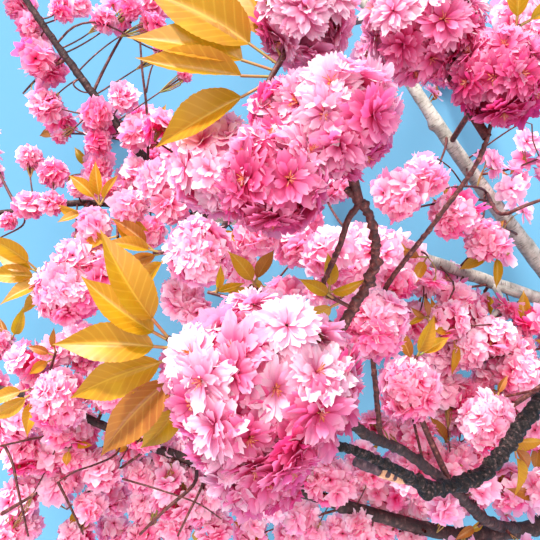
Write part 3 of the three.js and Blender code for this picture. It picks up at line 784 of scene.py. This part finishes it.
def leaf_material(name, stops, brown, through, vein):
    """Young cherry leaf: bronze yellow, softly glossy, with pale side veins."""
    material, tree, output, base = toned_material(name, stops)
    # Browner patches a centimetre or two wide, as young leaves turn green
    spot = add_node(tree, "ShaderNodeTexCoord")
    patches = add_node(tree, "ShaderNodeTexNoise", {"Vector": spot.outputs["Object"]},
                       {"Scale": 55.0, "Detail": 3.0})
    share = add_node(tree, "ShaderNodeMapRange", {"Value": patches.outputs["Fac"]},
                     {"From Min": 0.42, "From Max": 0.64, "To Max": 0.6})
    # Painted shade: one half of the blade is browned up to the midrib, as if turned from the light
    place = add_node(tree, "ShaderNodeUVMap", uv_map="surface")
    axes = add_node(tree, "ShaderNodeSeparateXYZ", {"Vector": place.outputs["UV"]})
    shaded_half = add_node(tree, "ShaderNodeMapRange", {"Value": axes.outputs["X"]},
                     {"From Min": 0.46, "From Max": 0.52, "To Min": 0.45, "To Max": 0.0})
    patches_and_shade = add_node(tree, "ShaderNodeMath", {0: share.outputs["Result"],
                                                1: shaded_half.outputs["Result"]},
                       operation="MAXIMUM")
    blend = add_node(tree, "ShaderNodeMix", {"Factor": patches_and_shade.outputs["Value"], 6: base},
                     {7: linear(brown)}, data_type="RGBA")
    # Side veins run forward from the midrib, about ten to a side
    offset = add_node(tree, "ShaderNodeMath", {0: axes.outputs["X"]}, {1: 0.5},
                      operation="SUBTRACT")
    aside = add_node(tree, "ShaderNodeMath", {0: offset.outputs["Value"]}, operation="ABSOLUTE")
    slant = add_node(tree, "ShaderNodeMath", {0: aside.outputs["Value"], 2: axes.outputs["Y"]},
                     {1: -0.34}, operation="MULTIPLY_ADD")
    side = even_bands(tree, slant, 62.0, {"From Min": 0.7, "From Max": 1.0, "To Max": 0.24})
    rib = add_node(tree, "ShaderNodeMapRange", {"Value": aside.outputs["Value"]},
                   {"From Min": 0.012, "From Max": 0.03, "To Min": 0.5, "To Max": 0.0})
    lines = add_node(tree, "ShaderNodeMath", {0: side, 1: rib.outputs["Result"]},
                     operation="MAXIMUM")
    colour = add_node(tree, "ShaderNodeMix", {"Factor": lines.outputs["Value"],
                                              6: blend.outputs[2]},
                      {7: linear(vein)}, data_type="RGBA")
    finish_thin(tree, output, colour.outputs[2],
                {"Roughness": 0.42, "Specular IOR Level": 0.4}, through, 0.32)
    return material


def bark_material(name, stops, patch, lines, relief, roughness, gloss=0.4):
    """Bark in patches of the given size, crossed by pores in short lines round the limb."""
    material, tree, output = new_material(name)
    place = add_node(tree, "ShaderNodeTexCoord")
    patches = add_node(tree, "ShaderNodeTexNoise", {"Vector": place.outputs["Object"]},
                       {"Scale": 1000 / patch, "Detail": 6.0, "Roughness": 0.65})
    ramp = add_node(tree, "ShaderNodeValToRGB", {"Fac": patches.outputs["Fac"]})
    set_stops(ramp, stops)
    # Pores: lines two or three millimetres apart along the limb, a fifth of the way round
    mask = drawn_noise(tree, (5, 0.4, 1), 3.0, {"From Min": 0.55, "From Max": 0.66, "To Max": 0.7})
    colour = add_node(tree, "ShaderNodeMix", {"Factor": mask, 6: ramp.outputs["Color"]},
                      {7: linear(lines)}, data_type="RGBA")
    fine = add_node(tree, "ShaderNodeTexNoise", {"Vector": place.outputs["Object"]},
                    {"Scale": 4000 / patch, "Detail": 5.0})
    both = add_node(tree, "ShaderNodeMath", {0: fine.outputs["Fac"], 1: mask}, operation="ADD")
    bump = add_node(tree, "ShaderNodeBump", {"Height": both.outputs["Value"]},
                    {"Strength": 0.8, "Distance": relief * MM})
    skin = add_node(tree, "ShaderNodeBsdfPrincipled",
                    {"Base Color": colour.outputs[2], "Normal": bump.outputs["Normal"]},
                    {"Roughness": roughness, "Specular IOR Level": gloss})
    tree.links.new(skin.outputs["BSDF"], output.inputs["Surface"])
    return material


def cut_wood_material(name, middle):
    """Sawn cherry wood: yearly rings round the middle of the cut, red-brown heart, pale rim."""
    material, tree, output = new_material(name)
    place = add_node(tree, "ShaderNodeTexCoord")
    away = add_node(tree, "ShaderNodeVectorMath", {0: place.outputs["Object"]},
                    {1: tuple(middle)}, operation="DISTANCE")
    waver = add_node(tree, "ShaderNodeTexNoise", {"Vector": place.outputs["Object"]},
                     {"Scale": 60.0, "Detail": 2.0})
    reach = add_node(tree, "ShaderNodeMath", {0: waver.outputs["Fac"], 2: away.outputs["Value"]},
                     {1: 0.003}, operation="MULTIPLY_ADD")
    share = add_node(tree, "ShaderNodeMapRange", {"Value": reach.outputs["Value"]},
                     {"From Max": 0.024})
    ramp = add_node(tree, "ShaderNodeValToRGB", {"Fac": share.outputs["Result"]})
    set_stops(ramp, [(0.06, "#6e3a20"), (0.5, "#b0743f"), (0.62, "#e2c08c"), (0.95, "#ecd4a6")])
    # Two millimetres from ring to ring
    late = even_bands(tree, reach, math.tau / 0.002,
                      {"From Min": 0.3, "From Max": 1.0, "To Max": 0.4})
    colour = add_node(tree, "ShaderNodeMix", {"Factor": late, 6: ramp.outputs["Color"]},
                      {7: linear("#8a5228")}, data_type="RGBA")
    skin = add_node(tree, "ShaderNodeBsdfPrincipled", {"Base Color": colour.outputs[2]},
                    {"Roughness": 0.7, "Specular IOR Level": 0.3})
    tree.links.new(skin.outputs["BSDF"], output.inputs["Surface"])
    return material


# Petals of the near heads, rose, pink and pale, and lighter copies of them for all other flowers:
# painted light that makes up for the shade of the near heads, in which the others lie. All are
# deep at the claw, as the petals are and as painted shade where they overlap, and paler to the
# edge
NEAR_PETALS = [
    petal_material("rose_petal", [(0.0, "#b00e40"), (0.3, "#c8346c"), (0.65, "#d65c8e"),
                                  (1.0, "#e69cbc")], "#e03c88"),
    petal_material("pink_petal", [(0.0, "#b81e4c"), (0.26, "#d05084"), (0.6, "#e07eaa"),
                                  (1.0, "#f2bed4")], "#e8589c"),
    petal_material("pale_petal", [(0.0, "#c84672"), (0.25, "#dc8cb2"), (0.55, "#ecc0d4"),
                                  (1.0, "#fcf0f5")], "#f084b8"),
]
FAR_PETALS = [
    petal_material("light_rose_petal", [(0.0, "#c41456"), (0.16, "#e23c88"), (0.5, "#f07eb6"),
                                        (1.0, "#f9c4de")], "#f8489a"),
    petal_material("light_pink_petal", [(0.0, "#d02e5c"), (0.16, "#ec629c"), (0.5, "#f6acca"),
                                        (1.0, "#fde6ef")], "#fa66ac"),
    petal_material("white_petal", [(0.0, "#d44c6c"), (0.16, "#f094bc"), (0.5, "#fcd8e6"),
                                   (1.0, "#fff8fa")], "#fe92c8"),
]
STAMENS = petal_material("stamen_threads", [(0.0, "#b8405a"), (0.7, "#f0b0a0"), (0.82, "#c08a24"),
                                            (1.0, "#8a5a14")], "#e08a50")
LEAF_SKIN = [
    leaf_material("young_leaf_gold", [(0.0, "#906a0c"), (0.5, "#b4880e"), (1.0, "#966a0c")],
                  "#965610", "#f0c41c", "#d6ae3a"),
    leaf_material("young_leaf_bronze", [(0.0, "#7c441c"), (0.5, "#a26a28"), (1.0, "#8c541c")],
                  "#7a3e1c", "#d68c1c", "#c89a48"),
]
# Shares of rose, pink and pale flowers: in a head, a pale head and deep inside a head, where the
# rose share is painted shade for the depth; in the heads that have their own, and in the three
# kinds of small cluster
HEAD_MIX, PALE_MIX, PAINTED_SHADE_MIX = [0.2, 0.5, 0.3], [0.0, 0.1, 0.9], [0.6, 0.4, 0.0]
HEAD_TINTS = {"bloom_white": PALE_MIX, "bloom_left_high": PALE_MIX, "bloom_top": PALE_MIX,
              "bloom_front_high": [0.1, 0.4, 0.5]}
CLUSTER_MIXES = {"pale": [0.0, 0.2, 0.8], "mid": [0.12, 0.5, 0.38], "rose": [0.5, 0.4, 0.1]}
CLUSTER_SHARES = ["pale"] * 4 + ["mid"] * 2 + ["rose"]

STALK_SKIN = bark_material("green_red_stalk", [(0.3, "#7d8f3a"), (0.7, "#a8553f")], 12,
                           "#8a5a3a", 0.1, 0.5)
BARK_OLD = bark_material("old_black_bark", [(0.4, "#090403"), (0.55, "#221512"),
                                            (0.7, "#7a5e5a")], 4, "#0c0605", 1.4, 0.44, 0.26)
BARK_DARK = bark_material("dark_brown_bark", [(0.34, "#180c0f"), (0.56, "#38201f"),
                                              (0.78, "#7a5c56")], 8, "#1a100d", 0.8, 0.7)
BARK_TWIG = bark_material("red_brown_twig_bark", [(0.34, "#2a0c0a"), (0.56, "#5a2420"),
                                                  (0.78, "#aa6e60")], 5, "#2a1214", 0.4, 0.55)
BARK_STUB = bark_material("weathered_stub_bark", [(0.34, "#2c1c20"), (0.56, "#5a4048"),
                                                  (0.78, "#947670")], 6, "#54404a", 0.6, 0.7)
BARE_WOOD = bark_material("peeled_wood", [(0.32, "#b87850"), (0.52, "#dca880"),
                                          (0.74, "#f2d8b8")], 7, "#8a4c30", 0.3, 0.6)
BARK_PALE = bark_material("smooth_grey_bark", [(0.3, "#76736a"), (0.5, "#a19e92"),
                                               (0.72, "#cbc8bc")], 22, "#5c584e", 0.5, 0.6)


# Pieces

def leaf_places(shape, leaf, rng):
    """A leaf's blade and the line of its stalk: places, tones, UVs, and the stalk's path.

    The blade is egg-shaped with a long tip, toothed, folded along its midrib, bowed along
    its length and rippled between its side veins.
    """
    u, v, _ = shape
    root, way, upper, length = leaf
    side = unit(np.cross(upper, way))
    top = np.cross(way, side)
    blade = length * (1 - PETIOLE_SHARE)
    outline = np.interp(v, BLADE_PLACES, BLADE_HALVES)
    teeth = 1 + 0.06 * np.abs(u) ** 3 * ((v * 20) % 1 - 0.5)
    half = outline * teeth * LEAF_WIDTH * length / 2
    fold = rng.uniform(0.45, 1.0) * (1 - 0.4 * v)
    bow, sweep = rng.uniform(0.05, 0.55), rng.uniform(-0.25, 0.25)
    ripple = 0.4 * np.cos((v - 0.2 * np.abs(u)) * 60) * np.abs(u) * outline
    wave = rng.uniform(0.2, 1.0) * np.sin(v * 6 + rng.uniform(0, 6)) * u * outline
    angle = bow * v - bow * 0.25
    forward = PETIOLE_SHARE * length + blade * v * np.cos(angle / 2)
    height = -blade * v * np.sin(angle / 2) + np.abs(u) * half * np.sin(fold) + ripple + wave
    sideways = u * half * np.cos(fold) + blade * sweep * v**2
    places = root + np.outer(forward, way) + np.outer(sideways, side) + np.outer(height, top)
    stalk = line_path(root, root + way * PETIOLE_SHARE * length * 1.04)
    return places, v, surface_uv(u, v), stalk


def limb_mesh(name, path, thick, look, knobs=()):
    """A limb with its bark's relief: lumps, knots and the close rings of yearly bud scars.

    Rings of negative height are grooves between beads. Knobs are given one by one: share of
    the length, facing, width and height in radii.
    """
    sides, step, lumps, knots, rings_gap, ring_height, bark = look
    shape = rod_shape(sides, max(12, round(path.length / step)))
    places = bend_rod(shape, path, lambda h: 1.0)
    share = shape[0][:, 2]
    axis = np.array([path.point(h) for h in share])
    outward = places - axis
    radius = (thick[0] + (thick[1] - thick[0]) * share) / 2
    reach = share * path.length
    rng = np.random.RandomState(sum(name.encode()))
    relief = np.array([noise.noise(Vector(p) / (r * 1.6)) * lumps * r
                       + noise.noise(Vector(p) / 3.2) * lumps * 0.4 * r
                       + noise.noise(Vector(p) / 1.3) * lumps * 0.12 * r
                       for p, r in zip(axis + outward * radius[:, None], radius)])
    for _ in range(round(knots * path.length / 100)):
        at, facing = rng.uniform(0.02, 0.98), unit(rng.normal(size=3))
        wide, high = rng.uniform(0.3, 0.7), rng.uniform(0.2, 0.65)
        far = ((reach - at * path.length) / (radius * wide)) ** 2
        relief += radius * high * np.exp(-far - (1 - outward @ facing) / (wide * 0.6))
    for at, facing, wide, high in knobs:
        far = ((reach - at * path.length) / (radius * wide)) ** 2
        relief += radius * high * np.exp(-far - (1 - outward @ unit(np.array(facing))) / wide)
    at = 4.0
    while rings_gap and at < path.length - 3:
        facing = outward @ unit(rng.normal(size=3))
        height = ring_height * rng.uniform(0.35, 1.0)
        uneven = np.clip((0.8 if ring_height < 0 else 0.3) + 0.7 * facing, 0.1, 1.1)
        band = rings_gap * rng.uniform(0.13, 0.28)
        far = reach - at + rng.uniform(-0.3, 0.3) * radius * facing
        relief += height * uneven * np.exp(-(far / band) ** 2)
        at += rings_gap * rng.choice([0.5, 0.75, 1.0, 1.4])
    radius = np.maximum(radius - 0.4 * max(ring_height, 0), 0.75 * radius)
    places = axis + outward * (radius + relief)[:, None]
    around = np.arctan2(shape[0][:, 1], shape[0][:, 0]) / math.tau
    pile = Pile()
    pile.add(places, shape[1], uv=np.column_stack([around, reach]))
    piece = mesh_from(name, pile, [bark])
    bm = bmesh.new()
    bm.from_mesh(piece.data)
    bmesh.ops.holes_fill(bm, edges=[e for e in bm.edges if e.is_boundary], sides=sides + 1)
    bmesh.ops.recalc_face_normals(bm, faces=bm.faces)
    bm.to_mesh(piece.data)
    bm.free()
    return piece


def add_flowers(pile, stalks, balls, springs, radius, cover, kinds, calyx, rng, tints,
                bare=None):
    """Flowers on each ball of a mass, each with its calyx and its stalk from the ball's spring.

    Those on the side of the head towards the window light get paler petals and lighter tones, a
    painted highlight, and those on the far side more rose petals and slightly deeper tones, a
    painted shade, by their place and by the way they face. Those of sprays, which come with the
    bare stretches, keep out of the openings.
    """
    rod = rod_shape(4, 3)
    head = np.array(balls[0][:3], float)
    for ball, spring in zip(balls, springs):
        others = [b for b in balls if b is not ball]
        for base, facing, size in flowers_on(ball, others, radius, cover, rng):
            if bare is not None and stays_open(base, bare):
                continue
            places, faces, tones, uvs, threads = kinds[rng.randint(len(kinds))]
            turn = turn_towards(facing, rng.uniform(0, math.tau))
            # Painted highlight and shade, by how far the flower sits and faces towards the window
            # light
            lit = np.clip((facing[1] + (base - head)[1] / balls[0][3]) / 2, -1, 1)
            up, down = max(lit, 0), min(lit, 0)
            odds = tints * np.clip([1 - 1.5 * lit, 1 - 0.9 * lit, 1 + 8 * up + 0.7 * down],
                                   0.02, None)
            slot = np.full(len(faces), rng.choice(3, p=odds / odds.sum()))
            if threads:
                slot[-threads:] = len(NEAR_PETALS)
            else:
                tones = np.clip(tones + rng.uniform(-0.14, 0.1), 0, 1)
            tones = np.clip(tones + (0.45 * up + 0.1 * down) * (tones > 0.12), 0, 1)
            pile.add(places @ turn.T * size + base, faces, tones, uvs, slot)
            cup = calyx[0] * np.array([CALYX_RADIUS, CALYX_RADIUS, CALYX_LENGTH]) * size
            cup[:, :2] *= 0.35 + 0.65 * calyx[0][:, 2:3]
            cup[:, 2] -= CALYX_LENGTH * size * 0.9
            stalks.add(cup @ turn.T + base, calyx[1])
            foot = base - facing * CALYX_LENGTH * size * 0.8
            path = arc_path(spring, foot - facing * 0.4 * np.linalg.norm(foot - spring), foot)
            stalks.add(bend_rod(rod, path, lambda h: PEDICEL_RADIUS), rod[1])


def add_inner_petals(pile, balls, shape, rng, slot=0):
    """The petals of the flowers deeper in a head: they close it to the eye, in deeper tones, a
    painted shade for the head's depth.
    """
    for ball in balls:
        middle, reach = np.array(ball[:3], float), ball[3]
        for _ in range(round(INNER_PETALS * (reach / 30) ** 2)):
            facing = unit(rng.normal(size=3))
            long = min(reach * 0.42, 22)
            places, tone, uv = petal(shape, long, long * 0.8, 0, 10, rng)
            turn = turn_towards(facing, rng.uniform(0, math.tau))
            lean = turn_towards(np.array([0, rng.uniform(0.6, 2.0), 1.0]), 0)
            spot = middle + facing * (reach * rng.uniform(0.3, 0.75) - long * 0.6)
            pile.add(places @ lean.T @ turn.T + spot, shape[2], 0.1 + tone * 0.35, uv, slot)


def add_leaves(pile, stalks, leaves, shape, rng, bronze):
    rod = rod_shape(5, 3)
    for leaf in leaves:
        places, tones, uvs, stalk = leaf_places(shape, leaf, rng)
        # Shrunk towards its root until it is inside the solids' box
        while (places[:, :2] < BOX[0, :2]).any() or (places > BOX[1]).any():
            places = leaf[0] + (places - leaf[0]) * 0.95
        pile.add(places, shape[2], tones, uvs, int(rng.uniform() < bronze))
        stalks.add(bend_rod(rod, stalk, lambda h: PETIOLE_RADIUS), rod[1])


def add_twig(pile, path, radius_at, shape):
    pile.add(bend_rod(shape, path, radius_at), shape[1], uv=shape[0][:, 1:3])


def finish_piece(piece, slot, nodes=()):
    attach(piece, "root")
    if nodes:
        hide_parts(*nodes)


limbs = limb_paths()

# Limbs: sides, length of a facet, lumps, knots in 100 mm, spacing and height of ring scars, bark
LIMB_LOOK = {
    "main_limb": (28, 7, 0.07, 0.5, 0, 0, BARK_PALE),
    "upper_right_bough": (24, 6, 0.07, 0.6, 0, 0, BARK_PALE),
    "cross_bough": (22, 5, 0.08, 0.8, 30, 0.5, BARK_PALE),
    "upper_left_bough": (14, 4, 0.2, 3, 16, 1.0, BARK_DARK),
    "left_bough": (12, 4, 0.16, 3, 14, 0.8, BARK_DARK),
    "low_bough": (20, 5, 0.12, 2, 24, 1.2, BARK_DARK),
    "rising_bough": (30, 1.1, 0.36, 30, 11, -1.1, BARK_OLD),
    "front_bough": (30, 0.7, 0.42, 44, 8, -1.0, BARK_OLD),
    "middle_bough": (20, 1.6, 0.2, 8, 9, 1.4, BARK_DARK),
    "high_twig": (20, 0.8, 0.26, 20, 8, 1.8, BARK_TWIG),
    "right_twig": (16, 1.4, 0.14, 8, 9, 1.3, BARK_TWIG),
}
# Diameters against the solids', where a limb in its bark is slimmer
SLIM_LIMBS = {"upper_right_bough": 0.82, "cross_bough": 0.82, "rising_bough": 0.78,
              "front_bough": 0.78, "right_twig": 0.9}
# Old leaf knobs: share of the length, facing, width and height in radii
KNOBS = {"front_bough": [(0.45, (-0.1, -1.0, 0.4), 1.1, 1.2), (0.41, (0.3, -0.9, 0.2), 0.8, 0.7)],
         "high_twig": [(0.2, (-0.4, 0.1, 0.9), 0.7, 0.6), (0.38, (0.3, 0.2, 0.9), 0.9, 0.7),
                       (0.5, (0.8, -0.2, 0.5), 1.0, 0.7), (0.66, (-0.7, 0.2, 0.6), 0.8, 0.6),
                       (0.86, (0.9, 0.4, 0.3), 0.8, 1.0)]}
for name, _, thick, _ in LIMBS:
    thick = [d * SLIM_LIMBS.get(name, 1) for d in thick]
    piece = limb_mesh(f"bark_{name}", limbs[name], thick, LIMB_LOOK[name], KNOBS.get(name, ()))
    pale = LIMB_LOOK[name][-1] is BARK_PALE
    finish_piece(piece, "bark_pale" if pale else "bark_dark", [name])

# The sawn face of the cut end, a little inside the bark
cut, face = limbs["main_limb"], Pile()
add_twig(face, line_path(cut.point(0), cut.point(0) - cut.tangent(0) * 0.6),
         lambda h: CUT_RADIUS * (1 - h), rod_shape(48, 2))
cut_wood = cut_wood_material("sawn_cherry_wood", (cut.point(0) + CENTRING) * MM)
finish_piece(mesh_from("bark_cut_end", face, [cut_wood], smooth=False), "bark_pale")

# A side twig under the upper front head, and the dead stub at the front bough's knob with the
# stretch that has lost its bark: path, diameters, look and slot
side_twig = smooth_path([nearest_on([limbs["high_twig"]], (74, 58, 684)), (64, 42, 680),
                         (59, 23, 670), (52, 3, 656), (44, -18, 640)])
stub = smooth_path([(138, -202, 596), (120, -196, 600), (101, -188, 606), (79, -177, 614)])
peeled = smooth_path([stub.point(h) for h in (0.16, 0.3, 0.44, 0.58)])
for name, path, thick, look, slot in (
        ("bark_side_twig", side_twig, (6.5, 5), LIMB_LOOK["right_twig"], "bark_dark"),
        ("bark_stub", stub, (11, 9.5), (18, 1.2, 0.24, 7, 12, 0.8, BARK_STUB), "bark_dark"),
        ("bark_peeled", peeled, (12, 11.4), (18, 1.2, 0.12, 9, 6, 0.7, BARE_WOOD), "bark_pale")):
    finish_piece(limb_mesh(name, path, thick, look), slot)

# Petals, flowers, leaves and rods, from the finest for what is near to the plainest
near_petal, middle_petal, small_petal = grid(8, 4), grid(4, 4), grid(3, 3)
thread_shape = grid(1, 3)
near_flowers = [flower(FULL_FLOWER, near_petal, s) for s in (1, 2)]
near_flowers += [flower(OPEN_FLOWER, near_petal, s, STAMEN_COUNT) for s in (3, 4, 5, 6)]
middle_flowers = [flower(MIDDLE_FLOWER, middle_petal, s) for s in (11, 12, 13)]
small_flowers = [flower(SMALL_FLOWER, small_petal, s) for s in (21, 22, 23, 24)]
calyx = rod_shape(6, 1)
near_leaf, small_leaf = grid(8, 44), grid(4, 10)
spur_shape, twig_shape = rod_shape(8, 14), rod_shape(7, 12)

# Large heads, gathered by where they sit (name, heads, kinds of flower and their radius): petals
# by group, the rest joined
HEAD_GROUPS = [
    ("front_low", ["bloom_front_low"], near_flowers, 25),
    ("front_high", ["bloom_front_high"], near_flowers, 25),
    ("top", ["bloom_top", "bloom_top_right"], near_flowers, 24),
    ("middle", ["bloom_left_high", "bloom_corner", "bloom_white", "bloom_left", "bloom_right",
                "bloom_low_left", "bloom_low_right", "bloom_far_right"], middle_flowers, 22),
]
stalks, twigs, head_leaves = Pile(), Pile(), Pile()
for group, (title, names, kinds, radius) in enumerate(HEAD_GROUPS):
    petals = Pile()
    rng = np.random.RandomState(HEADS_SEED + group)
    for index, row in enumerate(BLOOMS):
        if row[0] not in names:
            continue
        spur, balls, leaf_twig, leaves = head_rule(index, limbs)
        tints = HEAD_TINTS.get(row[0], HEAD_MIX)
        springs = [np.array(ball[:3], float) for ball in balls]
        balls = [(*ball[:3], ball[3] - PETAL_OVERHANG) for ball in balls]
        add_flowers(petals, stalks, balls, springs, radius, HEAD_COVER, kinds, calyx, rng, tints)
        # Flowers deeper in each ball and its inner petals, rosier and deeper in tone than the
        # head: painted shade in its depth
        inner = [(*ball[:3], ball[3] * INNER_REACH) for ball in balls]
        pale = tints is PALE_MIX
        add_flowers(petals, stalks, inner, springs, radius, INNER_COVER, small_flowers, calyx,
                    rng, HEAD_MIX if pale else PAINTED_SHADE_MIX)
        add_inner_petals(petals, balls, small_petal, rng, int(pale))
        add_twig(twigs, spur, lambda h: STALK_RADIUS * (1.1 - 0.3 * h), spur_shape)
        for spring in springs[1:]:
            add_twig(twigs, line_path(springs[0], spring), lambda h: HEAD_TWIG_RADIUS,
                     twig_shape)
        if leaf_twig:
            add_twig(twigs, leaf_twig, lambda h: TWIG_RADIUS - h, spur_shape)
            add_leaves(head_leaves, stalks, leaves, near_leaf, rng, BRONZE["heads"])
    # The middle heads take the lighter far petals: painted light for the shade they lie in
    skins = NEAR_PETALS + [STAMENS] if kinds is near_flowers else FAR_PETALS
    finish_piece(mesh_from(f"blossom_{title}", petals, skins), "blossom", names)

finish_piece(mesh_from("leaves_of_heads", head_leaves, LEAF_SKIN), "blossom")

# Sprays and finer sprays, in parts so that no piece grows too large
bare = []
for limb, first, last, half in BARE_STRETCHES:
    for share in np.linspace(first, last, BARE_STEPS):
        point = limbs[limb].point(share)
        bare.append((*floor_spot(point), point[2], half))
bare = np.array(bare)
spray_leaves = Pile()
rows = [(row[1:], SPRAY_SEED + i, row[0]) for i, row in enumerate(SPRAYS)]
rows += [(row, FINE_SEED + i, None) for i, row in enumerate(FINE_SPRAYS)]
for part in range(SPRAY_PARTS):
    petals = Pile()
    rng = np.random.RandomState(SPRAYS_SEED + part)
    for row, seed, _ in rows[part::SPRAY_PARTS]:
        twig, clusters, springs, leaves = spray_rule(row, seed, limbs)
        for ball, spring in zip(clusters, springs):
            add_flowers(petals, stalks, [ball], [spring], SPRAY_FLOWER, SPRAY_COVER,
                        small_flowers, calyx, rng, CLUSTER_MIXES[rng.choice(CLUSTER_SHARES)],
                        bare)
        closed = [c for c in clusters if not stays_open(np.array(c[:3]), bare)]
        add_inner_petals(petals, closed, small_petal, rng)
        if closed:
            add_twig(twigs, twig, lambda h: SLIM * (TWIG_RADIUS * (1 - h) + TWIG_TIP_RADIUS * h),
                     twig_shape)
        leaves = [leaf for leaf in leaves if not stays_open(leaf[0] + leaf[1] * 20, bare)]
        add_leaves(spray_leaves, stalks, leaves if seed < FINE_SEED else leaves[:1], small_leaf,
                   rng, BRONZE["sprays"])
    names = [name for _, _, name in rows[part::SPRAY_PARTS] if name]
    finish_piece(mesh_from(f"blossom_sprays_{part + 1}", petals, FAR_PETALS), "blossom", names)

# Short shoots straight from the limbs, with a few flowers each and a leaf or two
petals = Pile()
rng = np.random.RandomState(SHOOTS_SEED)
thickness = {name: thick for name, _, thick, _ in LIMBS}
for limb, first, last, gap in SHOOTS:
    path, thick = limbs[limb], thickness[limb]
    for share in np.arange(first, last, gap / path.length):
        share = min(share + rng.uniform(-0.3, 0.3) * gap / path.length, 0.99)
        along = path.tangent(share)
        way = unit(np.cross(along, rng.normal(size=3)) + UP * 0.2)
        spring = path.point(share)
        out = (thick[0] + (thick[1] - thick[0]) * share) / 2
        middle = spring + way * (out + SHOOT_REACH) + along * rng.uniform(-8, 8)
        middle[2] = max(middle[2], SHOOT_SIZE)
        tip = spring + way * (out + SHOOT_LENGTH)
        add_flowers(petals, stalks, [(*middle, SHOOT_SIZE)], [tip], SHOOT_FLOWER, SHOOT_COVER,
                    small_flowers, calyx, rng, CLUSTER_MIXES[rng.choice(CLUSTER_SHARES)], bare)
        add_twig(twigs, line_path(spring, tip), lambda h: SHOOT_RADIUS, twig_shape)
        heading = math.degrees(math.atan2(way[1], way[0])) + rng.uniform(-40, 40)
        leaves = fan(line_path(spring, tip), heading, 80, rng.randint(2), 40, rng.uniform)
        add_leaves(spray_leaves, stalks, leaves, small_leaf, rng, BRONZE["shoots"])
finish_piece(mesh_from("blossom_shoots", petals, FAR_PETALS), "blossom")

# Single clusters, tufts of leaves and bare twigs, each from the nearest limb
petals = Pile()
rng = np.random.RandomState(CLUSTERS_SEED)
for ball, mix in [(ball, mix) for tint, mix in CLUSTER_MIXES.items() for ball in POMPOMS[tint]]:
    middle = np.array(ball[:3], float)
    foot = nearest_on(limbs.values(), middle)
    sag = (foot + middle) / 2 + rng.normal(size=3) * 0.08 * np.linalg.norm(middle - foot)
    twig = arc_path(foot, sag, middle)
    add_flowers(petals, stalks, [ball], [twig.point(0.6)], SHOOT_FLOWER, POMPOM_COVER,
                small_flowers, calyx, rng, mix)
    add_inner_petals(petals, [ball], small_petal, rng)
    add_twig(twigs, twig, lambda h: POMPOM_TWIG_RADIUS * (1.3 - 0.5 * h), twig_shape)
finish_piece(mesh_from("blossom_pompoms", petals, FAR_PETALS), "blossom")

for start, *leaf_fan in TUFTS:
    start = np.array(start, float)
    foot = nearest_on(limbs.values(), start)
    twig = arc_path(foot, (foot + start) / 2 + UP * 6, start)
    add_twig(twigs, twig, lambda h: TWIG_TIP_RADIUS, twig_shape)
    add_leaves(spray_leaves, stalks, fan(twig, *leaf_fan, rng.uniform), near_leaf, rng,
               BRONZE["tufts"])

pale_twigs = Pile()
for table, pile in ((BARE_TWIGS, twigs), (PALE_TWIGS, pale_twigs)):
    for limb, thick, points in table:
        if limb:
            points = [tuple(nearest_on([limbs[limb]], np.array(points[0]))), *points]
        add_twig(pile, smooth_path(points), lambda h: thick / 2 * (1.15 - 0.4 * h), spur_shape)
finish_piece(mesh_from("pale_twigs", pale_twigs, [BARK_PALE]), "bark_pale")

finish_piece(mesh_from("leaves_of_sprays", spray_leaves, LEAF_SKIN), "blossom")
finish_piece(mesh_from("flower_stalks", stalks, [STALK_SKIN]), "blossom")
finish_piece(mesh_from("twigs_and_spurs", twigs, [BARK_TWIG]), "bark_dark")

# Floor, light and camera

# A painted studio floor: plain and matt, so that it takes soft shadows and gives no glare
FLOOR_REACH = 6  # metres from the bough's middle to each edge
material, tree, output = new_material("matt_painted_floor")
paint = add_node(tree, "ShaderNodeBsdfPrincipled", values={
    "Base Color": linear("#588da8"), "Roughness": 0.9, "Specular IOR Level": 0.1})
tree.links.new(paint.outputs["BSDF"], output.inputs["Surface"])
bm = bmesh.new()
bmesh.ops.create_grid(bm, x_segments=1, y_segments=1, size=FLOOR_REACH)
mesh = bpy.data.meshes.new("floor")
bm.to_mesh(mesh)
bm.free()
mesh.materials.append(material)
floor = bpy.data.objects.new("floor", mesh)
bpy.context.scene.collection.objects.link(floor)

# Broad distant lamps: name, place they shine from, strength, colour, width in degrees
LIGHTS = [
    ("window_light", (-0.6, 1.3, 0.56), 8.5, "#fff9f4", 8),
    ("high_light", (-0.15, 0.6, 1.3), 2.8, "#fff9f6", 30),
    ("low_fill", (0.3, -1.3, 0.8), 2.0, "#fff4f6", 40),
]
for name, place, strength, colour, width in LIGHTS:
    lamp = bpy.data.lights.new(name, "SUN")
    lamp.energy, lamp.angle = strength, math.radians(width)
    lamp.color = linear(colour)[:3]
    light = bpy.data.objects.new(name, lamp)
    light.location = place
    light.rotation_euler = (-Vector(place)).to_track_quat("-Z", "Y").to_euler()
    bpy.context.scene.collection.objects.link(light)

world = bpy.data.worlds.new("studio")
world.use_nodes = True
background = world.node_tree.nodes["Background"]
background.inputs["Color"].default_value = linear("#eeecff")
background.inputs["Strength"].default_value = 0.98
bpy.context.scene.world = world
bpy.context.scene.view_settings.view_transform = "Standard"

FIELD_OF_VIEW, SENSOR_WIDTH = math.radians(50), 36
camera = bpy.data.cameras.new("camera")
camera.sensor_width = SENSOR_WIDTH
camera.lens = SENSOR_WIDTH / 2 / math.tan(FIELD_OF_VIEW / 2)
viewer = bpy.data.objects.new("camera", camera)
viewer.location = Vector((CENTRING[0], CENTRING[1], EYE_HEIGHT)) * MM
bpy.context.scene.collection.objects.link(viewer)
bpy.context.scene.camera = viewer
